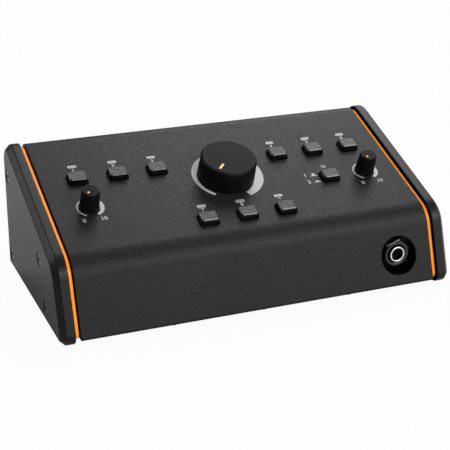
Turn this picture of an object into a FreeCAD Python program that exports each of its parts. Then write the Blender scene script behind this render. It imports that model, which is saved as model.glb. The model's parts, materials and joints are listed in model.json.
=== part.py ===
import FreeCAD, Part
import math
import os
import re

import Sketcher
from FreeCAD import Placement, Rotation, Vector

# A desktop monitor controller: a folded steel case between two cheeks, with a sloping control panel,
# a headphone socket at the front and the line sockets at the back.
# +X is the user's right, +Y the back, +Z up. The origin is the middle of the bounding box, on the table.

doc = FreeCAD.newDocument("monitor_controller")

# ---------------------------------------------------------------------------
# Driving sizes, in millimetres and degrees
# ---------------------------------------------------------------------------

DRIVING = {
    # whole object
    "overall_width": 210,
    "overall_depth": 110,
    "knee_height": 40.88,
    "slope_angle": 20.5,
    "front_lean": 18.8,
    "connector_reach": 2,
    # cheeks and the orange plates behind them
    "foot_reach": 2.5,
    "cheek_thickness": 7.4,
    "cheek_chamfer": 2.7,
    "cheek_proud": 0.7,
    "cheek_front_radius": 5,
    "cheek_rear_radius": 10,
    "cheek_heel_radius": 3.2,
    "knee_radius": 16,
    "trim_thickness": 2.5,
    "trim_recess": 1.5,
    "trim_corner_radius": 3,
    # folded case
    "steel": 1.5,
    "case_lift": 2.2,
    "sheet_gap": 0.2,
    "cover_lip": 10,
    "rear_lip": 7,
    "end_plate": 2,
    "end_flange_width": 13,
    "end_flange_gap": 0.76,
    "rear_flange_width": 11,
    # fasteners
    "thread_gap": 0.05,
    "hole_gap": 0.2,
    "cheek_screw_radius": 2,
    "cheek_head_radius": 3.65,
    "cheek_nut_width": 7,
    "cheek_nut_height": 3.2,
    "cheek_socket_radius": 1.35,
    "cheek_socket_depth": 1.5,
    "case_screw_radius": 1.5,
    "case_head_radius": 2.75,
    "case_head_height": 1.6,
    "case_screw_length": 6,
    "case_nut_width": 5.5,
    "case_nut_height": 2.4,
    "driver_recess_radius": 0.9,
    "driver_recess_depth": 1,
    # cheek screws, from the cheek's back and front edges, its underside and the case's floor
    "screw_rear_inset": 8.8,
    "screw_middle_inset": 36.8,
    "screw_front_inset": 28.2,
    "screw_high_height": 52.9,
    "screw_middle_height": 31.1,
    "screw_low_rise": 4,
    # feet
    "foot_radius": 6,
    "foot_taper": 0.8,
    "foot_side_inset": 25,
    "foot_front_inset": 27,
    "foot_rear_inset": 22,
    "foot_recess_radius": 3.2,
    "foot_recess_depth": 4,
    # control panel, measured down the slope from its sharp rear edge
    "control_pitch": 21.2,
    "indicator_down": 33.3,
    "button_down": 43.8,
    "lower_indicator_down": 75.8,
    "lower_button_down": 86.3,
    "bank_middle": 55.25,
    "select_across": 55.2,
    "select_down": 66.5,
    "volume_down": 55.3,
    "level_across": 76.4,
    "level_down": 65.5,
    # button caps and their switches
    "cap_width": 10,
    "cap_depth": 8,
    "cap_corner": 1.5,
    "cap_rise": 3.15,
    "cap_collar": 0.4,
    "cap_top_inset": 0.92,
    "cap_edge": 0.25,
    "cap_gap": 0.3,
    "stem_radius": 1.4,
    "stem_gap": 0.2,
    "switch_width": 8.5,
    "switch_height": 4.3,
    "button_travel": 2,
    "press_clearance": 0.6,
    # indicators
    "lens_length": 5.2,
    "lens_width": 2.2,
    "lens_corner": 0.8,
    "lens_proud": 0.25,
    "lens_gap": 0.12,
    "diode_length": 3.2,
    "diode_width": 1.6,
    "diode_height": 1.1,
    # knobs, their shafts and potentiometers
    "knob_float": 0.6,
    "shaft_radius": 3,
    "shaft_running_gap": 0.05,
    "volume_base_radius": 15.4,
    "volume_top_radius": 14.3,
    "volume_height": 12.7,
    "volume_edge": 0.5,
    "volume_wall": 2.4,
    "volume_roof": 3.2,
    "volume_hub_radius": 5.6,
    "volume_bush_wall": 0.45,
    "volume_bush_height": 4,
    "volume_nut_width": 10,
    "volume_nut_height": 2,
    "volume_pot_width": 16.5,
    "level_base_radius": 5.2,
    "level_top_radius": 4.5,
    "level_height": 11.2,
    "level_edge": 0.35,
    "level_pot_width": 10.5,
    "knob_bore_roof": 1.8,
    "mark_rest_angle": 135,
    "mark_inner": 7.1,
    "mark_length": 4.7,
    "mark_width": 1.2,
    "mark_depth": 0.5,
    "mark_proud": 0.05,
    "mark_gap": 0.03,
    "dot_radius": 0.75,
    "dot_centre": 2.2,
    # circuit boards
    "board_thickness": 1.6,
    "control_board_drop": 9.5,
    "control_board_margin": 1.5,
    "stud_radius": 2.5,
    "stud_across": 84,
    "stud_top_down": 30.5,
    "stud_bottom_down": 87,
    "main_board_width": 170,
    "main_board_front_gap": 6.9,
    "main_board_setback": 1,
    "spacer_height": 5,
    "spacer_radius": 3,
    "board_screw_bite": 1.7,
    "spacer_front_across": 60,
    "spacer_front_inset": 6,
    "spacer_rear_across": 76,
    "spacer_rear_inset": 33,
    # headphone socket
    "phones_across": 76.3,
    "socket_axis_height": 5.8,
    "phones_hole_radius": 10.14,
    "phones_hole_edge": 0.3,
    "phones_setback": 2.85,
    "phones_nut_radius": 7.2,
    "phones_nut_height": 2,
    "phones_nut_turn": 20,
    "phones_bush_radius": 4.35,
    "phones_bush_proud": 1.3,
    "phones_body_width": 15,
    "phones_body_length": 27,
    "phones_body_height": 12,
    "jack_bore_radius": 3.25,
    "jack_bore_depth": 31,
    "bracket_width": 22,
    "bracket_top": 13.4,
    "bracket_foot": 9,
    # line sockets on the back
    "line_count": 8,
    "line_first_across": -79,
    "line_pitch": 17,
    "line_body_width": 14.5,
    "line_body_length": 27,
    "line_body_height": 12,
    "line_bush_radius": 4.5,
    "line_nut_width": 12,
    "line_nut_height": 2,
    "media_across": 55,
    "media_bore_radius": 1.8,
    "media_bore_depth": 14.5,
    "media_bush_radius": 3,
    "media_bush_reach": 2.6,
    "media_body_width": 8,
    "media_body_length": 12,
    "media_body_height": 9,
    "inlet_across": 67.5,
    "inlet_width": 9,
    "inlet_height": 11,
    "inlet_length": 14,
    "inlet_bore_radius": 2.85,
    "inlet_bore_depth": 9.5,
    "inlet_pin_radius": 1,
    "power_across": 80,
    "power_body_width": 9,
    "power_body_length": 13,
    "power_body_height": 10,
    "power_button_width": 5.6,
    "power_button_proud": 3,
    "power_button_edge": 0.5,
    "power_travel": 1.6,
    # ribbon cable and the parts on the boards
    "ribbon_across": -38,
    "ribbon_width": 16,
    "ribbon_thickness": 1,
    "ribbon_down": 64,
    "ribbon_front": -10,
    "ribbon_lead": 6,
    "ribbon_drop": 6,
    "header_width": 20,
    "header_depth": 6,
    "header_height": 6,
    "capacitor_radius": 4,
    "capacitor_height": 11,
    "capacitor_left": -70,
    "capacitor_right": 10,
    "capacitor_pitch": 12,
    "chip_length": 10,
    "chip_width": 6.5,
    "chip_height": 3.4,
    "chip_middle": -14,
    "chip_right": 40,
    "chip_pitch": 14,
    "part_row_front": -20,
    "part_row_pitch": 14,
}

# Values that follow from the driving sizes. Each may use the names above it.
WORKED_OUT = {
    "slope_sin": "sin(slope_angle * 1 deg)",
    "slope_cos": "cos(slope_angle * 1 deg)",
    "slope_tan": "tan(slope_angle * 1 deg)",
    "lean_sin": "sin(front_lean * 1 deg)",
    "lean_cos": "cos(front_lean * 1 deg)",
    "lean_tan": "tan(front_lean * 1 deg)",
    "front_edge": "-overall_depth / 2",
    "rear_edge": "overall_depth / 2 - connector_reach",
    "case_half": "overall_width / 2 - cheek_thickness - trim_thickness",
    # where the cheek's front edge and its sloping edge pass the origin, and the height of its rear top
    "cheek_front_y": "front_edge + cheek_front_radius"
    " - ((foot_reach + cheek_front_radius) * lean_sin + cheek_front_radius) / lean_cos",
    "cheek_slope_z": "knee_height - (cheek_front_y + knee_height * lean_tan) * slope_tan",
    "cheek_height": "cheek_slope_z + cheek_rear_radius"
    " - (cheek_rear_radius + (cheek_rear_radius - rear_edge) * slope_sin) / slope_cos",
    # levels of the stack under the main board
    "case_bottom": "foot_reach + case_lift",
    "base_bottom": "case_bottom + steel",
    "floor_level": "base_bottom + steel",
    "main_board_bottom": "floor_level + spacer_height",
    "main_board_level": "main_board_bottom + board_thickness",
    "socket_axis": "main_board_level + socket_axis_height",
    # rear panel, which stands inside the cover's rear lip
    "rear_face": "rear_edge - cheek_proud - steel",
    "rear_inside": "rear_face - steel",
    # sharp rear edge of the sloping panel, from which the controls are measured
    "panel_top_y": "rear_edge - cheek_proud",
    "panel_top_z": "cheek_slope_z - cheek_proud / slope_cos + panel_top_y * slope_tan",
    "end_inset": "cheek_proud + steel + sheet_gap",
    # the end plate's flange keeps clear of the nut at the front
    "end_flange_length": "-2 * (front_edge + screw_front_inset + cheek_nut_width / sqrt(3)"
    " + end_flange_gap)",
    # a right-angled countersink is as deep as its head is wider than the screw
    "cheek_head_depth": "cheek_head_radius - cheek_screw_radius",
    "volume_bush_radius": "shaft_radius + shaft_running_gap + volume_bush_wall",
    # caps, stems and the power button stop short of what lies behind them when they are pressed
    "stem_end": "control_board_drop - button_travel - press_clearance",
    "cap_skirt": "stem_end - switch_height",
    "power_button_length": "power_button_proud + sheet_gap + power_body_length"
    " - power_travel - press_clearance",
}

sheet = doc.addObject("Spreadsheet::Sheet", "Sizes")


def bound(text):
    """The expression text with every size's name turned into a reference to its cell."""
    return re.sub(r"[a-z]\w*", lambda word: "Sizes." + word[0] if word[0] in NAMES else word[0], str(text))


def value(text):
    """What an expression on the sizes comes to, as a plain number."""
    result = sheet.evalExpression(bound(text))
    return float(getattr(result, "Value", result))


def fill_sheet():
    """Writes one row for each size: its name, its value or formula, and the name again as the alias."""
    rows = [(name, str(number)) for name, number in DRIVING.items()]
    rows += [(name, "=" + formula) for name, formula in WORKED_OUT.items()]
    for row, (name, content) in enumerate(rows, start=1):
        sheet.set(f"A{row}", name)
        sheet.set(f"B{row}", content)
        sheet.setAlias(f"B{row}", name)
    doc.recompute()


NAMES = set(DRIVING) | set(WORKED_OUT)
fill_sheet()

# ---------------------------------------------------------------------------
# Ways of drawing
# ---------------------------------------------------------------------------

node_objects = {}


def keep(shape_object, name):
    """Marks an object as a sub-part of its own, under the name that its file gets."""
    shape_object.Label = name
    node_objects[name] = shape_object
    return shape_object


def new_body(name):
    """An empty body."""
    return doc.addObject("PartDesign::Body", name)


def sketch_on(body, role, offset=None, turn=None):
    """A sketch on one of the body's own origin planes, moved along its normal and turned in its plane."""
    plane = next(feature for feature in body.Origin.OriginFeatures if feature.Role == role)
    sketch = body.newObject("Sketcher::SketchObject", body.Name + "_sketch")
    sketch.AttachmentSupport = [(plane, "")]
    sketch.MapMode = "FlatFace"
    if turn is not None:
        sketch.AttachmentOffset = Placement(Vector(), Rotation(Vector(0, 0, 1), value(turn)))
        sketch.setExpression("AttachmentOffset.Rotation.Angle", bound(turn))
    if offset is not None:
        sketch.setExpression("AttachmentOffset.Base.z", bound(offset))
    return sketch


def bind(sketch, kind, *where, to):
    """Adds a dimension to a sketch and ties it to an expression."""
    index = sketch.addConstraint(Sketcher.Constraint(kind, *where, value(to)))
    sketch.setExpression(f"Constraints[{index}]", bound(to))


def outline(sketch, corners):
    """A closed outline of straight lines through corners, each a pair of expressions."""
    first = sketch.GeometryCount
    points = [Vector(value(u), value(v), 0) for u, v in corners]
    for index, start in enumerate(points):
        sketch.addGeometry(Part.LineSegment(start, points[(index + 1) % len(points)]))
    for index, (u, v) in enumerate(corners):
        line = first + index
        following = first + (index + 1) % len(corners)
        sketch.addConstraint(Sketcher.Constraint("Coincident", line, 2, following, 1))
        bind(sketch, "DistanceX", -1, 1, line, 1, to=u)
        bind(sketch, "DistanceY", -1, 1, line, 1, to=v)


def rectangle(sketch, u, v, width, height):
    """A rectangle about the middle u, v."""
    low_u, high_u = f"{u} - ({width}) / 2", f"{u} + ({width}) / 2"
    low_v, high_v = f"{v} - ({height}) / 2", f"{v} + ({height}) / 2"
    outline(sketch, [(low_u, low_v), (high_u, low_v), (high_u, high_v), (low_u, high_v)])


def rounded_rectangle(sketch, u, v, width, height, radius):
    """A rectangle about the middle u, v with round corners: four lines, each followed by its arc."""
    first = sketch.GeometryCount
    corner = value(radius)
    left, right = value(f"{u} - ({width}) / 2"), value(f"{u} + ({width}) / 2")
    bottom, top = value(f"{v} - ({height}) / 2"), value(f"{v} + ({height}) / 2")
    sides = [
        ((left + corner, bottom), (right - corner, bottom), (right - corner, bottom + corner), 270),
        ((right, bottom + corner), (right, top - corner), (right - corner, top - corner), 0),
        ((right - corner, top), (left + corner, top), (left + corner, top - corner), 90),
        ((left, top - corner), (left, bottom + corner), (left + corner, bottom + corner), 180),
    ]
    for start, end, centre, angle in sides:
        sketch.addGeometry(Part.LineSegment(Vector(*start, 0), Vector(*end, 0)))
        circle = Part.Circle(Vector(*centre, 0), Vector(0, 0, 1), corner)
        arc = Part.ArcOfCircle(circle, math.radians(angle), math.radians(angle + 90))
        sketch.addGeometry(arc)
    pieces = 2 * len(sides)
    for index in range(pieces):
        following = first + (index + 1) % pieces
        sketch.addConstraint(Sketcher.Constraint("Tangent", first + index, 2, following, 1))
    for line, direction in ((0, "Horizontal"), (4, "Horizontal"), (2, "Vertical"), (6, "Vertical")):
        sketch.addConstraint(Sketcher.Constraint(direction, first + line))
    for arc in (3, 5, 7):
        sketch.addConstraint(Sketcher.Constraint("Equal", first + 1, first + arc))
    bind(sketch, "Radius", first + 1, to=radius)
    bind(sketch, "DistanceY", -1, 1, first, 1, to=f"{v} - ({height}) / 2")
    bind(sketch, "DistanceX", -1, 1, first + 2, 1, to=f"{u} + ({width}) / 2")
    bind(sketch, "DistanceY", -1, 1, first + 4, 1, to=f"{v} + ({height}) / 2")
    bind(sketch, "DistanceX", -1, 1, first + 6, 1, to=f"{u} - ({width}) / 2")


def circle(sketch, u, v, radius):
    """A circle about u, v."""
    shape = Part.Circle(Vector(value(u), value(v), 0), Vector(0, 0, 1), value(radius))
    index = sketch.addGeometry(shape)
    bind(sketch, "DistanceX", -1, 1, index, 3, to=u)
    bind(sketch, "DistanceY", -1, 1, index, 3, to=v)
    bind(sketch, "Radius", index, to=radius)


def hexagon(sketch, width):
    """A regular hexagon about the origin, its width given across the flats, two flats level."""
    radius = f"({width}) / sqrt(3)"
    half = f"({width}) / 2"
    side = [(radius, "0"), (f"{radius} / 2", half), (f"-{radius} / 2", half)]
    outline(sketch, side + [(f"-({u})", f"-({v})") for u, v in side])


def pad(body, sketch, length, symmetric=False, backwards=False, taper=None):
    """Raises a sketch into a solid."""
    feature = body.newObject("PartDesign::Pad", body.Name + "_pad")
    feature.Profile = sketch
    feature.Reversed = backwards
    if symmetric:
        feature.SideType = "Symmetric"
    feature.setExpression("Length", bound(length))
    if taper is not None:
        feature.setExpression("TaperAngle", bound(taper))
    doc.recompute()
    return feature


def pocket(body, sketch, length, backwards=False, symmetric=False):
    """Cuts a sketch out of the body and stops if nothing was cut."""
    before = body.Shape.Volume
    feature = body.newObject("PartDesign::Pocket", body.Name + "_pocket")
    feature.Profile = sketch
    feature.Reversed = backwards
    if symmetric:
        feature.SideType = "Symmetric"
    feature.setExpression("Length", bound(length))
    doc.recompute()
    if not body.Shape.Volume < before:
        raise RuntimeError(f"{feature.Name} cuts nothing")
    return feature


def revolve(body, corners):
    """Turns a closed half-section, given as radius and height, about the body's Z axis."""
    sketch = sketch_on(body, "XZ_Plane")
    outline(sketch, corners)
    feature = body.newObject("PartDesign::Revolution", body.Name + "_turned")
    feature.Profile = sketch
    feature.ReferenceAxis = (sketch, ["V_Axis"])
    feature.Angle = 360
    doc.recompute()
    return feature


def edges_near(body, points, direction=None):
    """Names of the body's edges that pass through the given points, by direction where one is given."""
    names = []
    for number, edge in enumerate(body.Shape.Edges, start=1):
        if direction is not None:
            along = edge.Vertexes[-1].Point - edge.Vertexes[0].Point
            if along.Length < 1e-6 or along.cross(direction).Length > 1e-4 * along.Length:
                continue
        if any(edge.distToShape(Part.Vertex(point))[0] < 1e-3 for point in points):
            names.append(f"Edge{number}")
    if not names:
        raise RuntimeError(f"no edge of {body.Name} lies there")
    return names


def fillet(body, names, radius):
    """Rounds the named edges of the body."""
    base = body.Tip
    feature = body.newObject("PartDesign::Fillet", body.Name + "_round")
    feature.Base = (base, names)
    feature.setExpression("Radius", bound(radius))
    doc.recompute()
    return feature


def chamfer(body, names, size):
    """Bevels the named edges of the body."""
    base = body.Tip
    feature = body.newObject("PartDesign::Chamfer", body.Name + "_bevel")
    feature.Base = (base, names)
    feature.setExpression("Size", bound(size))
    doc.recompute()
    return feature


def edges_of_face(body, axis, place):
    """Names of the edges that bound the body's flat face at a place along an axis."""
    names = []
    for number, edge in enumerate(body.Shape.Edges, start=1):
        low, high = edge.BoundBox.getPoint(0), edge.BoundBox.getPoint(6)
        ends = (getattr(low, axis), getattr(high, axis))
        if all(abs(end - value(place)) < 1e-4 for end in ends):
            names.append(f"Edge{number}")
    return names


def place(shape_object, x="0", y="0", z="0"):
    """Moves an object to a place in the case's own axes."""
    for axis, where in zip("xyz", (x, y, z)):
        shape_object.setExpression("Placement.Base." + axis, bound(where))


def place_on_panel(shape_object, across, down, depth="0"):
    """Sets an object's origin at a depth behind the panel's surface, with its Z axis out of the panel."""
    shape_object.Placement = Placement(Vector(), Rotation(Vector(1, 0, 0), value("slope_angle")))
    shape_object.setExpression("Placement.Rotation.Angle", bound("slope_angle"))
    y = f"panel_top_y - ({down}) * slope_cos + ({depth}) * slope_sin"
    z = f"panel_top_z - ({down}) * slope_sin - ({depth}) * slope_cos"
    place(shape_object, across, y, z)


def copies(name, master, places):
    """A node of separate like solids: the master linked once for each place, a setter and what it takes."""
    links = []
    for number, (setter, *where) in enumerate(places, start=1):
        link = doc.addObject("App::Link", f"{name}_{number}")
        link.LinkedObject = master
        setter(link, *where)
        links.append(link)
    group = doc.addObject("Part::Compound", name)
    group.Links = links
    doc.recompute()
    return keep(group, name)


def turned_link(link, x, y, z, axis, angle):
    """Sets a linked copy at a place in the case's axes, turned by a fixed angle about an axis."""
    link.Placement = Placement(Vector(), Rotation(axis, angle))
    place(link, x, y, z)


# ---------------------------------------------------------------------------
# The case's side profile, as expressions at a distance inside the cheek's edge
# ---------------------------------------------------------------------------


def slope_height(inset, y):
    """Height at y of the sloping line that lies inset inside the cheek's sloping edge."""
    return f"(cheek_slope_z - ({inset}) / slope_cos + ({y}) * slope_tan)"


def front_place(inset, z):
    """Where, at height z, the front line lies that is inset inside the cheek's front edge."""
    return f"(cheek_front_y + ({inset}) / lean_cos + ({z}) * lean_tan)"


def knee(inset):
    """The corner at which those two lines meet."""
    start = slope_height(inset, "0")
    y = f"(({front_place(inset, '0')} + {start} * lean_tan) / (1 - slope_tan * lean_tan))"
    return y, f"({start} + {y} * slope_tan)"


def side_profile(inset, bottom, rear):
    """The four corners of a plate with the case's side view: front, heel, rear top and knee."""
    return [
        (front_place(inset, bottom), bottom),
        (rear, bottom),
        (rear, slope_height(inset, rear)),
        knee(inset),
    ]


def round_profile(body, corners, radii):
    """Rounds the edges along X that stand at a plate's corners."""
    for (y, z), radius in zip(corners, radii):
        point = Vector(body.Shape.BoundBox.Center.x, value(y), value(z))
        fillet(body, edges_near(body, [point], Vector(1, 0, 0)), radius)


# ---------------------------------------------------------------------------
# Places that several pieces share
# ---------------------------------------------------------------------------

# name of each side, and the sign of its X
SIDES = (("left", -1), ("right", 1))

# the four screws in each cheek, as Y and Z
CHEEK_SCREWS = (
    ("rear_edge - screw_rear_inset", "foot_reach + screw_high_height"),
    ("rear_edge - screw_rear_inset", "floor_level + screw_low_rise"),
    ("front_edge + screw_middle_inset", "foot_reach + screw_middle_height"),
    ("front_edge + screw_front_inset", "floor_level + screw_low_rise"),
)

# upright screws, as X and Y: cover's lip, end plates' flanges, rear panel's flange
LIP_LINE = f"{front_place('cheek_proud + steel', 'case_bottom')} + cover_lip / 2"
LIP_SCREWS = tuple((x, LIP_LINE) for x in ("-case_half / 2", "0", "case_half / 2"))
FLANGE_SCREWS = tuple(
    (f"{sign} * (case_half - end_plate - end_flange_width / 2)", f"{end} * end_flange_length / 3")
    for _, sign in SIDES
    for end in (-1, 1)
)
REAR_FLANGE_LINE = "rear_inside - rear_flange_width / 2"
REAR_FLANGE_SCREWS = tuple((x, REAR_FLANGE_LINE) for x in ("-case_half * 2 / 3", "case_half * 2 / 3"))

# screws through the cover's rear lip and the rear panel, as X and Z
REAR_LIP_LINE = "cheek_height - cheek_rear_radius - rear_lip / 2"
REAR_LIP_SCREWS = tuple((x, REAR_LIP_LINE) for x in ("-case_half * 2 / 3", "0", "case_half * 2 / 3"))

FEET = tuple(
    (f"{sign} * (overall_width / 2 - foot_side_inset)", y)
    for _, sign in SIDES
    for y in ("front_edge + foot_front_inset", "rear_edge - foot_rear_inset")
)

# headphone socket: faces of its nut and its bracket, and the screws in the bracket's foot
PHONES_NUT_FRONT = f"({front_place('cheek_proud', 'socket_axis')} + phones_setback)"
BRACKET_FRONT = f"({PHONES_NUT_FRONT} + phones_nut_height)"
BRACKET_BACK = f"({BRACKET_FRONT} + steel)"
BRACKET_SCREWS = tuple(
    (f"phones_across + {side} * bracket_width / 4", f"{BRACKET_BACK} + bracket_foot / 2") for side in (-1, 1)
)

# main board: its front and rear edges, and the spacers under it
MAIN_BOARD_FRONT = f"({BRACKET_BACK} + main_board_front_gap)"
MAIN_BOARD_REAR = "(rear_inside - main_board_setback)"
BOARD_SPACERS = tuple(
    (f"{sign} * {across}", y)
    for _, sign in SIDES
    for across, y in (
        ("spacer_front_across", f"{MAIN_BOARD_FRONT} + spacer_front_inset"),
        ("spacer_rear_across", f"{MAIN_BOARD_REAR} - spacer_rear_inset"),
    )
)

# control board: its depth behind the panel, and the studs that carry it, across and down the slope
BOARD_DEEP = "(control_board_drop + board_thickness)"
PANEL_STUDS = tuple((across, "stud_top_down") for across in ("-stud_across", "0", "stud_across"))
PANEL_STUDS += tuple((across, "stud_bottom_down") for across in ("-stud_across", "stud_across"))

# openings in the rear panel
LINE_COUNT = round(value("line_count"))
LINE_SOCKETS = tuple(f"line_first_across + {index} * line_pitch" for index in range(LINE_COUNT))
INLET_AXIS = "main_board_level + inlet_height / 2"
POWER_AXIS = "main_board_level + power_body_height / 2"

# controls on the panel, across from the middle and down the slope
BUTTONS = {}
INDICATORS = []
for bank, middle, button_row, indicator_row in (
    ("source_button", "-bank_middle", "button_down", "indicator_down"),
    ("speaker_button", "bank_middle", "button_down", "indicator_down"),
    ("function_button", "0", "lower_button_down", "lower_indicator_down"),
):
    for number, offset in enumerate(("-control_pitch", "0", "control_pitch"), start=1):
        BUTTONS[f"{bank}_{number}"] = (f"{middle} + {offset}", button_row)
        INDICATORS.append((f"{middle} + {offset}", indicator_row))
BUTTONS["select_button"] = ("select_across", "select_down")

LEVEL_KNOBS = {"aux": "-level_across", "phones": "level_across"}

# ---------------------------------------------------------------------------
# Cheeks, orange plates and end plates
# ---------------------------------------------------------------------------


def side_plate(body, sign, inner_face, thickness, corners, radii):
    """Pads a side profile outwards from its inner face and rounds its corners."""
    sketch = sketch_on(body, "YZ_Plane", offset=f"{sign} * ({inner_face})")
    outline(sketch, corners)
    pad(body, sketch, thickness, backwards=sign < 0)
    round_profile(body, corners, radii)


def cut_screw_holes(body, sign, inner_face, thickness, radius):
    """Cuts the four holes of the cheek screws through a side plate."""
    sketch = sketch_on(body, "YZ_Plane", offset=f"{sign} * ({inner_face})")
    for y, z in CHEEK_SCREWS:
        circle(sketch, y, z, radius)
    pocket(body, sketch, thickness, backwards=sign > 0)


def make_cheek(side, sign):
    """An aluminium cheek with a chamfered outer edge and countersunk screw holes."""
    body = keep(new_body(side + "_cheek"), side + "_cheek")
    corners = side_profile("0", "foot_reach", "rear_edge")
    inner_face = "overall_width / 2 - cheek_thickness"
    knee_outside = "knee_radius + cheek_proud"
    radii = ("cheek_front_radius", "cheek_heel_radius", "cheek_rear_radius", knee_outside)
    side_plate(body, sign, inner_face, "cheek_thickness", corners, radii)
    chamfer(body, edges_of_face(body, "x", f"{sign} * overall_width / 2"), "cheek_chamfer")
    cut_screw_holes(body, sign, inner_face, "cheek_thickness", "cheek_screw_radius + hole_gap")
    hole = value("cheek_screw_radius + hole_gap")
    outer = sign * value("overall_width / 2")
    rims = [Vector(outer, value(y) + hole, value(z)) for y, z in CHEEK_SCREWS]
    chamfer(body, edges_near(body, rims), "cheek_head_depth")


def make_trim_plate(side, sign):
    """The thin orange plate between cheek and case, whose recessed edge shows as a stripe."""
    body = keep(new_body(side + "_trim_plate"), side + "_trim_plate")
    inset = "cheek_proud + trim_recess"
    corners = side_profile(inset, "case_bottom", f"rear_edge - ({inset})")
    radii = (
        "trim_corner_radius",
        "trim_corner_radius",
        f"cheek_rear_radius - ({inset})",
        "knee_radius - trim_recess",
    )
    side_plate(body, sign, "case_half", "trim_thickness", corners, radii)
    cut_screw_holes(body, sign, "case_half", "trim_thickness", "cheek_screw_radius + hole_gap")


def make_end_plate(side, sign):
    """The inner steel plate that closes the case's end, with a flange on the floor."""
    body = keep(new_body(side + "_end_plate"), side + "_end_plate")
    corners = side_profile("end_inset", "floor_level", "rear_inside - sheet_gap")
    radii = ("sheet_gap", "sheet_gap", "cheek_rear_radius - end_inset", "knee_radius - steel - sheet_gap")
    inner_face = "case_half - end_plate"
    side_plate(body, sign, inner_face, "end_plate", corners, radii)
    cut_screw_holes(body, sign, inner_face, "end_plate", "cheek_screw_radius + hole_gap")
    flange = sketch_on(body, "XY_Plane", offset="floor_level")
    across = f"{sign} * ({inner_face} - end_flange_width / 2)"
    rectangle(flange, across, "0", "end_flange_width", "end_flange_length")
    pad(body, flange, "end_plate")
    holes = sketch_on(body, "XY_Plane", offset="floor_level + end_plate")
    for x, y in FLANGE_SCREWS:
        if value(x) * sign > 0:
            circle(holes, x, y, "case_screw_radius + hole_gap")
    pocket(body, holes, "end_plate")


for side_name, side_sign in SIDES:
    make_cheek(side_name, side_sign)
    make_trim_plate(side_name, side_sign)
    make_end_plate(side_name, side_sign)

# ---------------------------------------------------------------------------
# Folded cover, base plate and rear panel
# ---------------------------------------------------------------------------


def make_top_cover():
    """One folded sheet: front lip, leaning front, knee, sloping panel, rear bend and rear lip."""
    body = keep(new_body("top_cover"), "top_cover")
    outer, inner = "cheek_proud", "cheek_proud + steel"
    rear_out, rear_in = "rear_edge - cheek_proud", "rear_edge - cheek_proud - steel"
    lip_end = f"{front_place(inner, 'case_bottom')} + cover_lip"
    lip_bottom = "cheek_height - cheek_rear_radius - rear_lip"
    corners = [
        (front_place(outer, "case_bottom"), "case_bottom"),
        (lip_end, "case_bottom"),
        (lip_end, "base_bottom"),
        (front_place(inner, "base_bottom"), "base_bottom"),
        knee(inner),
        (rear_in, slope_height(inner, rear_in)),
        (rear_in, lip_bottom),
        (rear_out, lip_bottom),
        (rear_out, slope_height(outer, rear_out)),
        knee(outer),
    ]
    sketch = sketch_on(body, "YZ_Plane")
    outline(sketch, corners)
    pad(body, sketch, "2 * case_half", symmetric=True)
    bends = (
        (corners[0], "steel"),
        (corners[4], "knee_radius - steel"),
        (corners[5], "cheek_rear_radius - cheek_proud - steel"),
        (corners[8], "cheek_rear_radius - cheek_proud"),
        (corners[9], "knee_radius"),
    )
    round_profile(body, [corner for corner, _ in bends], [radius for _, radius in bends])
    cut_panel(body)
    cut_phones_hole(body)
    holes = sketch_on(body, "XY_Plane", offset="case_bottom")
    for x, y in LIP_SCREWS:
        circle(holes, x, y, "case_screw_radius + hole_gap")
    pocket(body, holes, "steel", backwards=True)
    rear_holes = sketch_on(body, "XZ_Plane", offset=f"-({rear_out})")
    for x, z in REAR_LIP_SCREWS:
        circle(rear_holes, x, z, "case_screw_radius + hole_gap")
    pocket(body, rear_holes, "steel", backwards=True)


def slope_sketch(body):
    """A sketch on the panel's outer surface: X across, Y up the slope from its sharp rear edge."""
    sketch = sketch_on(body, "XY_Plane")
    sketch.AttachmentOffset = Placement(Vector(), Rotation(Vector(1, 0, 0), value("slope_angle")))
    sketch.setExpression("AttachmentOffset.Rotation.Angle", bound("slope_angle"))
    sketch.setExpression("AttachmentOffset.Base.y", bound("panel_top_y"))
    sketch.setExpression("AttachmentOffset.Base.z", bound("panel_top_z"))
    return sketch


def cut_panel(body):
    """Cuts the panel's openings for the button caps, the indicator lenses and the knob shafts."""
    openings = slope_sketch(body)
    for across, down in BUTTONS.values():
        sizes = ("cap_width + 2 * cap_gap", "cap_depth + 2 * cap_gap", "cap_corner + cap_gap")
        rounded_rectangle(openings, across, f"-{down}", *sizes)
    pocket(body, openings, "steel")
    slots = slope_sketch(body)
    for across, down in INDICATORS:
        sizes = ("lens_length + 2 * lens_gap", "lens_width + 2 * lens_gap", "lens_corner + lens_gap")
        rounded_rectangle(slots, across, f"-{down}", *sizes)
    pocket(body, slots, "steel")
    holes = slope_sketch(body)
    circle(holes, "0", "-volume_down", "volume_bush_radius + hole_gap")
    for across in LEVEL_KNOBS.values():
        circle(holes, across, "-level_down", "shaft_radius + 3 * hole_gap")
    pocket(body, holes, "steel")


def cut_phones_hole(body):
    """Cuts the round hole in the leaning front, square to the sheet, with a small bevel on its rim."""
    sketch = sketch_on(body, "XZ_Plane")
    sketch.AttachmentOffset = Placement(Vector(), Rotation(Vector(1, 0, 0), -value("front_lean")))
    sketch.setExpression("AttachmentOffset.Rotation.Angle", bound("-front_lean"))
    sketch.setExpression("AttachmentOffset.Base.y", bound("socket_axis"))
    sketch.setExpression("AttachmentOffset.Base.z", bound("-" + front_place("cheek_proud", "socket_axis")))
    circle(sketch, "phones_across", "0", "phones_hole_radius")
    pocket(body, sketch, "2 * steel", symmetric=True)
    side = value("phones_across + phones_hole_radius")
    rim = Vector(side, value(front_place("cheek_proud", "socket_axis")), value("socket_axis"))
    chamfer(body, edges_near(body, [rim]), "phones_hole_edge")


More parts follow.
